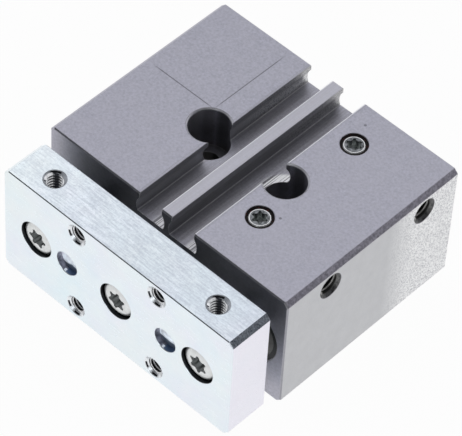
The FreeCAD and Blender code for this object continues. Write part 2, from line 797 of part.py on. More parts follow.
def make_rods():
    """Two hardened guide rods and the stepped piston rod."""
    rod_rear = f"({REAR} - guide_rod_end_setback)"
    for side, sign in GUIDE_SIDES.items():
        corners = [
            *tapped_rod_end("guide_rod_diameter", "screw_diameter"),
            ("guide_rod_diameter / 2", f"{rod_rear} - rod_chamfer"),
            ("guide_rod_diameter / 2 - rod_chamfer", rod_rear),
            ("0", rod_rear),
        ]
        keep(turned(f"guide_rod_{side}", "Y", f"{sign} * guide_pitch / 2", MID, corners))
    spigot_end = f"({PISTON_REAR} - nut_sink)"
    corners = [
        *tapped_rod_end("piston_rod_diameter", "screw_diameter"),
        ("piston_rod_diameter / 2", PISTON_FRONT),
        ("rod_spigot_diameter / 2", PISTON_FRONT),
        ("rod_spigot_diameter / 2", spigot_end),
        ("0", spigot_end),
    ]
    keep(turned("piston_rod", "Y", "0", MID, corners))


def piston_seal(label, front, towards):
    """Lip seal in a piston groove. towards is the way its lips face, -1 or 1 along Y."""
    inner = "(bore_diameter / 2 - piston_seal_depth + fit_clearance)"
    lip = "(bore_diameter / 2 - running_clearance)"
    back = front if towards > 0 else f"({front} + piston_seal_length)"
    corners = [
        (inner, back),
        (f"{lip} - 0.25 * ({lip} - {inner})", back),
        (lip, f"{back} + ({towards}) * 0.8 * piston_seal_length"),
        (f"{lip} - 0.2 * ({lip} - {inner})", f"{back} + ({towards}) * piston_seal_length"),
        (f"({lip} + {inner}) / 2", f"{back} + ({towards}) * 0.5 * piston_seal_length"),
        (inner, f"{back} + ({towards}) * 0.9 * piston_seal_length"),
    ]
    keep(turned(label, "Y", "0", MID, corners))


def make_piston():
    """Two-piece piston with magnet, wear band, lip seals and nut."""
    rim = "(bore_diameter / 2 - piston_clearance)"
    hub = "(rod_spigot_diameter / 2 + fit_clearance)"
    groove = "(bore_diameter / 2 - piston_seal_depth)"
    groove_length = "(piston_seal_length + 4 * ring_play)"
    front_groove = f"({PISTON_FRONT} + piston_seal_setback)"
    rear_groove = f"({MAGNET_REAR} + piston_seal_setback)"

    front_disc = [
        (hub, PISTON_FRONT),
        (rim, PISTON_FRONT),
        (rim, front_groove),
        (groove, front_groove),
        (groove, f"{front_groove} + {groove_length}"),
        (rim, f"{front_groove} + {groove_length}"),
        (rim, MAGNET_FRONT),
        (hub, MAGNET_FRONT),
    ]
    keep(turned("piston_front_disc", "Y", "0", MID, front_disc))
    piston_seal("front_piston_seal", f"({front_groove} + 2 * ring_play)", -1)

    rear_disc = [
        (hub, MAGNET_REAR),
        (rim, MAGNET_REAR),
        (rim, rear_groove),
        (groove, rear_groove),
        (groove, f"{rear_groove} + {groove_length}"),
        (rim, f"{rear_groove} + {groove_length}"),
        (rim, PISTON_REAR),
        (f"{NUT_CORNER} + nut_play", PISTON_REAR),
        (f"{NUT_CORNER} + nut_play", NUT_SEAT),
        (hub, NUT_SEAT),
    ]
    keep(turned("piston_rear_disc", "Y", "0", MID, rear_disc))
    piston_seal("rear_piston_seal", f"({rear_groove} + 2 * ring_play)", 1)

    magnet_inner = "(rod_spigot_diameter / 2 + magnet_play)"
    magnet = [
        (magnet_inner, MAGNET_FRONT),
        (MAGNET_OUTER, MAGNET_FRONT),
        (MAGNET_OUTER, MAGNET_REAR),
        (magnet_inner, MAGNET_REAR),
    ]
    keep(turned("piston_magnet", "Y", "0", MID, magnet))

    band_middle = f"({MAGNET_FRONT} + magnet_length / 2)"
    band = [
        (f"{MAGNET_OUTER} + fit_clearance", f"{band_middle} - wear_band_length / 2"),
        ("bore_diameter / 2 - running_clearance", f"{band_middle} - wear_band_length / 2"),
        ("bore_diameter / 2 - running_clearance", f"{band_middle} + wear_band_length / 2"),
        (f"{MAGNET_OUTER} + fit_clearance", f"{band_middle} + wear_band_length / 2"),
    ]
    keep(turned("piston_wear_band", "Y", "0", MID, band))
    make_piston_nut()


def make_piston_nut():
    """Thin hexagon nut that clamps the piston on the rod."""
    body = new_body("piston_nut")
    sketch = sketch_on(body, "nut_section", "XZ_Plane", up=MID, along=f"-({NUT_SEAT})")
    corners = [(f"{NUT_CORNER} * cos({60 * k})", f"{NUT_CORNER} * sin({60 * k})") for k in range(6)]
    draw_outline(sketch, corners)
    draw_circle(sketch, "0", "0", "rod_spigot_diameter / 2 + fit_clearance")
    pad(body, sketch, "nut_height", reverse=True)
    keep(body)


def bushing_front(order):
    """Front face of the first (0) or second (1) ball bushing on a rod."""
    return f"({BUSHINGS_FRONT} + {order} * ({BUSHING_LENGTH} + bushing_gap))"


def make_ball_bushing(label, side_x, front):
    """Linear ball bushing: steel sleeve, slotted plastic cage and load-row balls."""
    cage_inner = "(guide_rod_diameter / 2 + cage_rod_gap)"
    cage_outer = f"({cage_inner} + cage_thickness)"
    mouth = f"({cage_outer} + fit_clearance)"
    rear = f"({front} + {BUSHING_LENGTH})"
    middle = f"({front} + {BUSHING_LENGTH} / 2)"
    sleeve = [
        (mouth, front),
        (BUSHING_OUTER, front),
        (BUSHING_OUTER, rear),
        (mouth, rear),
        (mouth, f"{rear} - bushing_end_lip"),
        (BALL_TRACK, f"{rear} - bushing_end_lip"),
        (BALL_TRACK, f"{front} + bushing_end_lip"),
        (mouth, f"{front} + bushing_end_lip"),
    ]
    keep(turned(f"{label}_sleeve", "Y", side_x, MID, sleeve))

    cage_front = f"({front} + bushing_end_lip / 2)"
    cage_rear = f"({rear} - bushing_end_lip / 2)"
    cage = turned(
        f"{label}_cage",
        "Y",
        side_x,
        MID,
        [(cage_inner, cage_front), (cage_outer, cage_front), (cage_outer, cage_rear), (cage_inner, cage_rear)],
    )
    row_half_length = f"({BALLS_PER_ROW} * ball_spacing / 2)"
    slot = sketch_on(cage, f"{label}_cage_slot", "XY_Plane", across=side_x, up=middle, along=MID)
    half_width = "cage_slot_width / 2"
    draw_outline(
        slot,
        [
            (half_width, f"-{row_half_length}"),
            (half_width, row_half_length),
            (f"-{half_width}", row_half_length),
            (f"-{half_width}", f"-{row_half_length}"),
        ],
    )
    cut = cage.newObject("PartDesign::Pocket", f"{label}_cage_slots")
    cut.Profile = slot
    cut.Midplane = True
    bind(cut, "Length", f"3 * {cage_outer}")
    upright = sketch_on(cage, f"{label}_cage_side_slot", "YZ_Plane", across=middle, up=MID, along=side_x)
    draw_outline(
        upright,
        [
            (f"-{row_half_length}", f"-{half_width}"),
            (row_half_length, f"-{half_width}"),
            (row_half_length, half_width),
            (f"-{row_half_length}", half_width),
        ],
    )
    side_cut = cage.newObject("PartDesign::Pocket", f"{label}_cage_side_slots")
    side_cut.Profile = upright
    side_cut.Midplane = True
    bind(side_cut, "Length", f"3 * {cage_outer}")
    keep(cage)

    balls = []
    for row in range(BALL_ROWS):
        for place in range(BALLS_PER_ROW):
            ball = doc.addObject("Part::Sphere", f"{label}_ball")
            bind(ball, "Radius", "ball_diameter / 2")
            bind(ball, "Placement.Base.x", f"{side_x} + {BALL_RING} * cos({90 * row})")
            bind(ball, "Placement.Base.z", f"{MID} + {BALL_RING} * sin({90 * row})")
            bind(ball, "Placement.Base.y", f"{middle} + ({place} - {BALLS_PER_ROW - 1} / 2) * ball_spacing")
            balls.append(ball)
    group(f"{label}_balls", balls)


def make_wiper(label, side_x):
    """Rubber wiper ring in front of a guide rod's bushings, with a raised scraper collar."""
    lip = "(guide_rod_diameter / 2 + running_clearance)"
    throat = "(guide_rod_diameter / 2 + wiper_throat_play)"
    outer = f"({WIPER_SEAT} - fit_clearance)"
    collar = "(guide_rod_diameter / 2 + wiper_collar_width)"
    front = f"({FRONT} + wiper_recess)"
    collar_front = f"({front} - wiper_collar_height)"
    rear = f"({BUSHINGS_FRONT} - wiper_play)"
    corners = [
        (lip, collar_front),
        (collar, collar_front),
        (f"{collar} + wiper_collar_slope", front),
        (outer, front),
        (outer, rear),
        (throat, rear),
        (throat, f"{collar_front} + wiper_lip_length"),
    ]
    keep(turned(label, "Y", side_x, MID, corners))


def make_guides():
    """Wiper and two ball bushings for each guide rod."""
    for side, sign in GUIDE_SIDES.items():
        side_x = f"({sign} * guide_pitch / 2)"
        make_wiper(f"guide_wiper_{side}", side_x)
        for order, place in enumerate(("front", "rear")):
            make_ball_bushing(f"ball_bushing_{side}_{place}", side_x, bushing_front(order))


def make_yoke_plate():
    """Zinc-plated steel yoke plate."""
    body = new_body("yoke_plate")
    block = sketch_on(body, "yoke_section", "XZ_Plane", along=f"-({YOKE_REAR})")
    draw_chamfered_rectangle(block, YOKE_HALF_WIDTH, YOKE_BOTTOM, YOKE_TOP, "yoke_chamfer")
    pad(body, block, "yoke_thickness")
    break_end_edges(body, "yoke_edge_break")

    head_bore = "(screw_head_diameter / 2 + screw_head_play)"
    shank_hole = "(screw_diameter / 2 + screw_shank_play)"
    for name, sign in SCREW_SIDES.items():
        rod = "guide_rod_diameter" if sign else "piston_rod_diameter"
        corners = [
            ("0", YOKE_FRONT),
            (f"{head_bore} + yoke_screw_mouth_chamfer", YOKE_FRONT),
            (head_bore, f"{YOKE_FRONT} + yoke_screw_mouth_chamfer"),
            (head_bore, SCREW_SEAT),
            (shank_hole, SCREW_SEAT),
            (shank_hole, ROD_FRONT),
            (f"{rod} / 2 + fit_clearance", ROD_FRONT),
            (f"{rod} / 2 + fit_clearance", YOKE_REAR),
            ("0", YOKE_REAR),
        ]
        bore(body, f"screw_hole_{name}", "Y", f"{sign} * guide_pitch / 2", MID, corners)

    for side_name, sign in GUIDE_SIDES.items():
        corners = [
            ("0", YOKE_FRONT),
            ("centring_diameter / 2 + centring_chamfer", YOKE_FRONT),
            ("centring_diameter / 2", f"{YOKE_FRONT} + centring_chamfer"),
            ("centring_diameter / 2", f"{YOKE_FRONT} + centring_depth"),
            ("0", f"{YOKE_FRONT} + centring_depth"),
        ]
        bore(body, f"yoke_centring_{side_name}", "Y", f"{sign} * yoke_centring_pitch / 2", MID, corners)

    face = sketch_on(body, "yoke_face_holes", "XZ_Plane", up=MID, along=f"-({YOKE_FRONT})")
    for x_sign in (-1, 1):
        for z_sign in (-1, 1):
            x = f"{x_sign} * yoke_thread_pitch / 2"
            z = f"{z_sign} * ({YOKE_HALF_HEIGHT} - yoke_thread_edge)"
            draw_circle(face, x, z, "yoke_thread_diameter / 2")
    tapped_holes(body, "yoke_face_threads", face)

    for name, level, flip in (("top", YOKE_TOP, False), ("bottom", YOKE_BOTTOM, True)):
        edge = sketch_on(body, f"yoke_{name}_holes", "XY_Plane", up=YOKE_MIDDLE, along=level)
        for x_sign in (-1, 1):
            draw_circle(edge, f"{x_sign} * guide_pitch / 2", "0", "yoke_thread_diameter / 2")
        threads = tapped_holes(body, f"yoke_{name}_threads", edge, "yoke_edge_hole_depth")
        threads.Reversed = flip
    keep(body)


def yoke_screw(name, sign, turn):
    """Crowned low-head screw with a star socket, its length along +Y."""
    label = f"yoke_screw_{name}"
    x = f"({sign} * guide_pitch / 2)"
    head = "screw_head_diameter / 2"
    slope = "(screw_head_diameter / 2 - screw_crown_flat / 2)"
    crown_radius = f"({slope}^2 + screw_head_crown^2) / (2 * screw_head_crown)"
    end = f"({SCREW_SEAT} + screw_length)"
    corners = [
        ("0", SCREW_FACE),
        ("screw_crown_flat / 2", SCREW_FACE),
        (head, f"{SCREW_FACE} + screw_head_crown"),
        (head, SCREW_SEAT),
        ("screw_diameter / 2", SCREW_SEAT),
        ("screw_diameter / 2", f"{end} - screw_tip_chamfer"),
        ("screw_diameter / 2 - screw_tip_chamfer", end),
        ("0", end),
    ]
    body = turned(label, "Y", x, MID, corners, {1: (crown_radius, True)})
    socket = sketch_on(
        body, f"{label}_socket", "XZ_Plane", across=x, up=MID, along=f"-({SCREW_FACE})", turn=turn
    )
    draw_outline(socket, *star_outline("star_across"))
    pocket(body, socket, "star_depth")
    return body


def make_yoke_screws():
    """Three screws, tightened to whatever angle their sockets end at."""
    turns = {"left": "59", "middle": "22", "right": "36"}
    group("yoke_screws", [yoke_screw(name, sign, turns[name]) for name, sign in SCREW_SIDES.items()])


def blanking_plug(end, place, turn):
    """Grub screw that closes a top port."""
    label = f"blanking_plug_{end}"
    top = f"({TOP} - plug_recess)"
    radius = "(port_diameter / 2 - fit_clearance)"
    corners = [
        ("0", f"{top} - plug_length"),
        (f"{radius} - plug_edge", f"{top} - plug_length"),
        (radius, f"{top} - plug_length + plug_edge"),
        (radius, f"{top} - plug_edge / 2"),
        (f"{radius} - plug_edge / 2", top),
        ("0", top),
    ]
    body = turned(label, "Z", "blank_port_offset", place, corners)
    socket = sketch_on(
        body, f"{label}_socket", "XY_Plane", across="blank_port_offset", up=place, along=top, turn=turn
    )
    draw_outline(socket, *star_outline("plug_star_across"))
    pocket(body, socket, "plug_star_depth")
    return body


def make_blanking_plugs():
    """Plugs in the two top ports."""
    group(
        "blanking_plugs",
        [blanking_plug("front", FRONT_PORT, "12"), blanking_plug("rear", REAR_PORT, "11")],
    )


def check_document():
    """Stop if any object failed or any sub-part has no sound shape."""
    for item in doc.Objects:
        if "Invalid" in item.State or "Error" in item.State:
            raise RuntimeError(f"{item.Name} failed: {item.State}")
    for piece in pieces:
        if piece.Shape.isNull() or not piece.Shape.isValid() or not piece.Shape.Solids:
            raise RuntimeError(f"{piece.Label} has no valid solid")


def main():
    """Build every sub-part and write one STEP file for each."""
    fill_sheet()
    make_housing()
    make_front_cap()
    make_rear_cap()
    make_retaining_rings()
    make_rods()
    make_piston()
    make_guides()
    make_yoke_plate()
    make_yoke_screws()
    make_blanking_plugs()
    doc.recompute()
    check_document()
    os.makedirs("parts", exist_ok=True)
    for piece in pieces:
        piece.Shape.exportStep(f"parts/{piece.Label}.step")
        box = piece.Shape.BoundBox
        print(f"{piece.Label}: {len(piece.Shape.Solids)} solids, {piece.Shape.Volume:.1f} mm3, "
              f"y {box.YMin:.2f} to {box.YMax:.2f}")


main()
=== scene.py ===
import json
import math

import bmesh
import bpy
from mathutils import Matrix, Vector


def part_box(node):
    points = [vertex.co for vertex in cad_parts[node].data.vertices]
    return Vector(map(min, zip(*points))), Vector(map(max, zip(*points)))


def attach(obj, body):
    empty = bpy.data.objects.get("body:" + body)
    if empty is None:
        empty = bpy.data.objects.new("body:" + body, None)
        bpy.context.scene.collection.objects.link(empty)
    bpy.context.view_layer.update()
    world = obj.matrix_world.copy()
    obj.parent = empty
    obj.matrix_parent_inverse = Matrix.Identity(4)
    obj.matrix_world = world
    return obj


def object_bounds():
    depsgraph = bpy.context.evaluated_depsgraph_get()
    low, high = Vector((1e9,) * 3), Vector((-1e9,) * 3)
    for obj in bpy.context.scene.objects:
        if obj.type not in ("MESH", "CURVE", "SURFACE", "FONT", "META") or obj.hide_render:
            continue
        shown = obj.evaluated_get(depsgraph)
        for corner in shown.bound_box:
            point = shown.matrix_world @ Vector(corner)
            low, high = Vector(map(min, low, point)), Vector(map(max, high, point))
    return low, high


# Guided pneumatic cylinder, dressed for view: anodised housing, zinc-plated yoke plate, satin
# screws, cut threads and traces of sealant, on a pale floor under soft light.

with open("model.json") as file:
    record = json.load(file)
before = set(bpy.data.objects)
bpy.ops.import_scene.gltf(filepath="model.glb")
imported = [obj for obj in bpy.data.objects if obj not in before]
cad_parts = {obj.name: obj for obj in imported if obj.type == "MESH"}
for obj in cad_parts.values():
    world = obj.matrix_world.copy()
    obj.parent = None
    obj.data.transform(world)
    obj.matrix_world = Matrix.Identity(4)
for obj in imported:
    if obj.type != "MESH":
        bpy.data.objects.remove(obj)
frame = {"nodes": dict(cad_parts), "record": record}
cad_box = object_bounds()
bpy.context.scene.view_settings.view_transform = "Standard"
nodes = frame["nodes"]
MM = 0.001

UP, RIGHT, FORWARD = (0.0, 0.0, 1.0), (1.0, 0.0, 0.0), (0.0, -1.0, 0.0)
RIGHT_BREAK, FRONT_BREAK = (0.7071, 0.0, 0.7071), (0.0, -0.7071, 0.7071)
FRONT_RIGHT_BREAK, TOP_CORNER = (0.7071, -0.7071, 0.0), (0.577, -0.577, 0.577)
# the way that the wall on the far side of an upright hole faces
FAR_WALL = (0.655, -0.756, 0.0)
# the two coordinates that count round an axis along X, Y or Z
ROUND_X, ROUND_Y, ROUND_Z = (0.0, 1.0, 1.0), (1.0, 0.0, 1.0), (1.0, 1.0, 0.0)


def mm(x, y, z):
    return Vector((x * MM, y * MM, z * MM))


def mount(name):
    return next(row for row in frame["record"]["mounts"] if row["name"] == name)


def pattern_of(name):
    """Centre of a mount's holes, and half their spacing along X and up Z."""
    row = mount(name)
    across = row["dims"].get("spacing_x_mm", 0.0) * MM / 2
    up = row["dims"].get("spacing_y_mm", 0.0) * MM / 2
    return Vector(row["pos_m"]), Vector((across, 0.0, up))


# ---------------------------------------------------------------- camera and lamps


def aim(thing, target, roll=0.0):
    """Turns a camera or lamp to look at a point, then rolls it about its own line of sight."""
    direction = target - thing.location
    turn = direction.to_track_quat("-Z", "Y").to_matrix()
    thing.rotation_euler = (turn @ Matrix.Rotation(math.radians(roll), 3, "Z")).to_euler()


def studio_camera():
    data = bpy.data.cameras.new("studio_camera")
    data.sensor_width = 36.0
    data.lens = 255.49
    data.clip_start = 0.05
    data.clip_end = 20.0
    camera = bpy.data.objects.new("studio_camera", data)
    bpy.context.scene.collection.objects.link(camera)
    camera.location = mm(252.44, -297.09, 459.52)
    aim(camera, mm(0.791, -5.985, 13.65), roll=3.7316)
    bpy.context.scene.camera = camera


def softbox(name, place, width, height, radiance, tint=(1.0, 1.0, 1.0)):
    """An area lamp of a given evenly bright face, aimed at the cylinder."""
    data = bpy.data.lights.new(name, "AREA")
    data.shape = "RECTANGLE"
    data.size = width
    data.size_y = height
    data.energy = radiance * math.pi * width * height
    data.color = tint
    lamp = bpy.data.objects.new(name, data)
    bpy.context.scene.collection.objects.link(lamp)
    lamp.location = Vector(place)
    aim(lamp, Vector((0.0, 0.0, 0.01)))


# ---------------------------------------------------------------- node tools


def fill(tree, sockets, values):
    """Sets sockets to values, or joins them to the sockets given."""
    for key, value in values.items():
        if isinstance(value, bpy.types.NodeSocket):
            tree.links.new(value, sockets[key])
        else:
            sockets[key].default_value = value


def put(tree, kind, inputs=None, **settings):
    """Adds a node with its settings, and fills the inputs named."""
    node = tree.nodes.new(kind)
    for name, value in settings.items():
        setattr(node, name, value)
    fill(tree, node.inputs, inputs or {})
    return node


def use(tree, group, inputs):
    """Places a group in a material with its own values, and gives its outputs."""
    node = put(tree, "ShaderNodeGroup", node_tree=group)
    fill(tree, node.inputs, inputs)
    return node.outputs


def tone(red, green, blue):
    return (red, green, blue, 1.0)


BLACK = tone(0.0, 0.0, 0.0)


def sum_of(tree, operation, *values, clamp=False):
    """A Math node on one to three numbers."""
    return put(tree, "ShaderNodeMath", dict(enumerate(values)), operation=operation, use_clamp=clamp).outputs[0]


def vector_of(tree, operation, *values):
    """A Vector Math node."""
    node = put(tree, "ShaderNodeVectorMath", dict(enumerate(values)), operation=operation)
    return node.outputs["Value" if operation in ("DOT_PRODUCT", "LENGTH") else "Vector"]


def noise_of(tree, vector, scale, detail, rough=0.5):
    """The level of a Noise texture."""
    return put(tree, "ShaderNodeTexNoise", {"Vector": vector, "Scale": scale, "Detail": detail,
                                            "Roughness": rough}).outputs["Fac"]


def both(tree, first, *others):
    """Masks and shares multiplied together."""
    for other in others:
        first = sum_of(tree, "MULTIPLY", first, other)
    return first


def either(tree, first, *others):
    """The highest of several masks."""
    for other in others:
        first = sum_of(tree, "MAXIMUM", first, other)
    return first


def less(tree, mask):
    """What a mask leaves over."""
    return sum_of(tree, "SUBTRACT", 1.0, mask)


def ramp_of(tree, value, low, high, to_low=0.0, to_high=1.0):
    """Spreads low..high of a number over to_low..to_high, and holds the ends."""
    node = put(tree, "ShaderNodeMapRange", {"Value": value, "From Min": low, "From Max": high,
                                            "To Min": to_low, "To Max": to_high}, clamp=True)
    return node.outputs["Result"]


def between(tree, value, low, high, soft):
    """1 where a number lies between two limits, with soft ends."""
    return both(tree, ramp_of(tree, value, low - soft, low + soft), ramp_of(tree, value, high + soft, high - soft))


def blend_of(tree, factor, under, over, how="MIX"):
    """A colour Mix node."""
    node = put(tree, "ShaderNodeMix", data_type="RGBA", blend_type=how, clamp_factor=True)
    fill(tree, node.inputs, {0: factor, 6: under, 7: over})
    return node.outputs[2]


def paint(tree, base, colour, *masks):
    """Lays a colour over another where all the masks are."""
    return blend_of(tree, both(tree, *masks), base, colour)


def group_of(name, inputs, outputs):
    """Opens a shader node group with its sockets, and gives the tree, its inputs and its end."""
    tree = bpy.data.node_groups.new(name, "ShaderNodeTree")
    for label, kind, default in inputs:
        socket = tree.interface.new_socket(name=label, in_out="INPUT", socket_type=kind)
        if default is not None:
            socket.default_value = default
    for label, kind in outputs:
        tree.interface.new_socket(name=label, in_out="OUTPUT", socket_type=kind)
    return tree, tree.nodes.new("NodeGroupInput").outputs, tree.nodes.new("NodeGroupOutput").inputs


FLOAT, VECTOR, COLOUR = "NodeSocketFloat", "NodeSocketVector", "NodeSocketColor"
PLACE = ("Vector", VECTOR, None)


# ---------------------------------------------------------------- shared finishes


def mottle_group():
    """Fine grain of an anodised or cast skin over soft wide patches."""
    tree, start, end = group_of("metal_mottle", [PLACE, ("Fine", FLOAT, 2600.0), ("Wide", FLOAT, 240.0)],
                                [("Grain", FLOAT), ("Patches", FLOAT)])
    fine = noise_of(tree, start["Vector"], start["Fine"], 3.0, 0.65)
    wide = noise_of(tree, start["Vector"], start["Wide"], 4.0, 0.55)
    fill(tree, end, {"Grain": ramp_of(tree, fine, 0.3, 0.7), "Patches": ramp_of(tree, wide, 0.32, 0.68)})
    return tree


def drawn_grain_group():
    """Long fine lines left by drawing, grinding or milling along one direction."""
    tree, start, end = group_of("drawn_grain", [PLACE, ("Stretch", VECTOR, (1.0, 1.0, 1.0)),
                                                ("Scale", FLOAT, 3000.0)], [("Lines", FLOAT)])
    pulled = vector_of(tree, "MULTIPLY", start["Vector"], start["Stretch"])
    fill(tree, end, {"Lines": ramp_of(tree, noise_of(tree, pulled, start["Scale"], 3.0, 0.6), 0.3, 0.7)})
    return tree


def edge_highlight_group():
    """Where an edge turns: the line for a painted highlight, broken by a fine noise."""
    tree, start, end = group_of("edge_highlight", [PLACE, ("Radius", FLOAT, 0.0002), ("Break", FLOAT, 900.0)],
                                [("Edge", FLOAT), ("Normal", VECTOR)])
    round_over = put(tree, "ShaderNodeBevel", {"Radius": start["Radius"]}, samples=6).outputs[0]
    flat = put(tree, "ShaderNodeNewGeometry").outputs["Normal"]
    turn = ramp_of(tree, vector_of(tree, "DOT_PRODUCT", round_over, flat), 0.995, 0.86)
    break_noise = noise_of(tree, start["Vector"], start["Break"], 2.0)
    fill(tree, end, {"Edge": both(tree, turn, ramp_of(tree, break_noise, 0.3, 0.62, 0.35, 1.0)), "Normal": round_over})
    return tree


def speck_group():
    """Scattered pits and specks, most of them faint."""
    tree, start, end = group_of("pits_and_specks", [PLACE, ("Scale", FLOAT, 500.0), ("Size", FLOAT, 0.12),
                                                    ("Share", FLOAT, 0.2)], [("Specks", FLOAT)])
    cells = put(tree, "ShaderNodeTexVoronoi", {"Vector": start["Vector"], "Scale": start["Scale"]},
                feature="F1").outputs
    near = sum_of(tree, "LESS_THAN", cells["Distance"], start["Size"])
    draw = put(tree, "ShaderNodeSeparateColor", {"Color": cells["Color"]}).outputs[0]
    fill(tree, end, {"Specks": both(tree, near, sum_of(tree, "LESS_THAN", draw, start["Share"]))})
    return tree


def ring_group():
    """Turning marks: fine rings about the middle axis."""
    tree, start, end = group_of("turned_rings", [PLACE, ("Scale", FLOAT, 6000.0)], [("Rings", FLOAT)])
    reach = vector_of(tree, "LENGTH", vector_of(tree, "MULTIPLY", start["Vector"], ROUND_Y))
    line = put(tree, "ShaderNodeCombineXYZ", {"X": reach}).outputs[0]
    fill(tree, end, {"Rings": ramp_of(tree, noise_of(tree, line, start["Scale"], 2.0, 0.6), 0.32, 0.68)})
    return tree


def tint_group():
    """Slow drift of hue over bright zinc plate: blue, rose and straw."""
    tree, start, end = group_of("plating_tints", [PLACE, ("Scale", FLOAT, 60.0)],
                                [("Tint", COLOUR), ("Amount", FLOAT)])
    hues = put(tree, "ShaderNodeValToRGB", {"Fac": noise_of(tree, start["Vector"], start["Scale"], 1.0)})
    blue, straw = hues.color_ramp.elements
    blue.position, blue.color = 0.25, tone(0.84, 0.96, 1.0)
    straw.position, straw.color = 0.78, tone(1.0, 0.985, 0.92)
    hues.color_ramp.elements.new(0.5).color = tone(0.98, 0.9, 1.0)
    cloud = noise_of(tree, start["Vector"], 180.0, 2.0)
    fill(tree, end, {"Tint": hues.outputs["Color"], "Amount": ramp_of(tree, cloud, 0.3, 0.7)})
    return tree


def stroke_group():
    """One thin printed line: a long narrow patch with soft ends."""
    tree, start, end = group_of("printed_stroke", [PLACE, ("Centre", VECTOR, (0.0, 0.0, 0.0)),
                                                   ("Half", VECTOR, (0.01, 0.01, 0.01))], [("Mask", FLOAT)])
    away = vector_of(tree, "ABSOLUTE", vector_of(tree, "SUBTRACT", start["Vector"], start["Centre"]))
    share = vector_of(tree, "DIVIDE", away, start["Half"])
    part = put(tree, "ShaderNodeSeparateXYZ", {"Vector": share}).outputs
    fill(tree, end, {"Mask": ramp_of(tree, either(tree, *part), 1.0, 0.75)})
    return tree


def hole_group():
    """Distance in millimetres from the axis of the nearest of up to four mirrored holes."""
    tree, start, end = group_of("hole_reach", [PLACE, ("Centre", VECTOR, (0.0, 0.0, 0.0)),
                                               ("Half", VECTOR, (0.0, 0.0, 0.0)),
                                               ("Across", VECTOR, ROUND_Y)], [("Reach", FLOAT)])
    folded = vector_of(tree, "ABSOLUTE", vector_of(tree, "SUBTRACT", start["Vector"], start["Centre"]))
    near = vector_of(tree, "SUBTRACT", folded, start["Half"])
    reach = vector_of(tree, "LENGTH", vector_of(tree, "MULTIPLY", near, start["Across"]))
    fill(tree, end, {"Reach": both(tree, reach, 1.0 / MM)})
    return tree


def crevice_group(name, alone):
    """How closed in a spot is, for painted shade: 0 in the open, 1 deep in a bore or a corner."""
    tree, start, end = group_of(name, [("Reach", FLOAT, 0.004), ("Open", FLOAT, 0.75), ("Closed", FLOAT, 0.2)],
                                [("Depth", FLOAT)])
    shelter = put(tree, "ShaderNodeAmbientOcclusion", {"Distance": start["Reach"]}, samples=6, only_local=alone)
    fill(tree, end, {"Depth": ramp_of(tree, shelter.outputs["AO"], start["Open"], start["Closed"])})
    return tree


# the edge group marks where a painted highlight runs along the edges
MOTTLE, GRAIN, EDGE_HIGHLIGHT = mottle_group(), drawn_grain_group(), edge_highlight_group()
SPECKS, RINGS, TINTS, STROKE = speck_group(), ring_group(), tint_group(), stroke_group()
HOLES = hole_group()
# painted shade: one for bores within a piece, one for seats between pieces
CREVICE, JOINED = crevice_group("painted_shade_bores", True), crevice_group("painted_shade_seats", False)


def new_finish(name):
    """A material with its Principled shader and output, and its object coordinates."""
    finish = bpy.data.materials.new(name)
    finish.use_nodes = True
    tree = finish.node_tree
    tree.nodes.clear()
    shader = put(tree, "ShaderNodeBsdfPrincipled")
    put(tree, "ShaderNodeOutputMaterial", {"Surface": shader.outputs[0]})
    return finish, tree, shader, put(tree, "ShaderNodeTexCoord").outputs["Object"]


def lay_on(tree, shader, base, grain, rough, metallic=None):
    """Gives the shader its colour, its roughness spread over a grain, and how metallic it is."""
    fill(tree, shader.inputs, {"Base Color": base, "Roughness": ramp_of(tree, grain, *rough)})
    if metallic is not None:
        fill(tree, shader.inputs, {"Metallic": metallic})


def raise_skin(tree, shader, height, depth, normal=None):
    """Feeds a height to the shader's normal as a bump of a given depth in metres."""
    inputs = {"Height": height, "Distance": depth, "Strength": 1.0}
    if normal is not None:
        inputs["Normal"] = normal
    fill(tree, shader.inputs, {"Normal": put(tree, "ShaderNodeBump", inputs).outputs["Normal"]})


def light_up(tree, shader, share, colour):
    """A weak light of its own, for what would be lost in the depth of a hole."""
    fill(tree, shader.inputs, {"Emission Color": blend_of(tree, share, BLACK, colour), "Emission Strength": 1.0})


def turned_to(tree, direction):
    """Cosine of the angle between the surface's normal and a direction."""
    return vector_of(tree, "DOT_PRODUCT", put(tree, "ShaderNodeNewGeometry").outputs["Normal"], direction)


def facing(tree, direction, low=0.8, high=0.98):
    """How far the surface faces a direction: 0 below low, 1 above high."""
    return ramp_of(tree, turned_to(tree, direction), low, high)


def millimetres(tree, here):
    """The three coordinates, in millimetres."""
    return put(tree, "ShaderNodeSeparateXYZ", {"Vector": vector_of(tree, "MULTIPLY", here, (1.0 / MM,) * 3)}).outputs


def reach_from(tree, here, centre, half, across):
    """Distance in millimetres from the axis of the nearest hole of a pattern."""
    return use(tree, HOLES, {"Vector": here, "Centre": centre, "Half": half, "Across": across})["Reach"]


# ---------------------------------------------------------------- housing


# all in mm, as are the coordinates that the masks work in
FLOOR, LAND = 22.2, 26.8       # heights of the slots' floors, and of the rim under the top face
SLOTS_HALF, RIB_HALF = 7.2, 1.25
COUNTERBORE = 4.0              # radius
INSIDE = 1000.0                # a reach past every port
# centre and half size of the two printed lines
PRINTED = (((-19.1, 1.6, 27.3), (7.6, 0.13, 0.2)), ((-11.5, 11.05, 27.3), (0.12, 9.45, 0.2)))


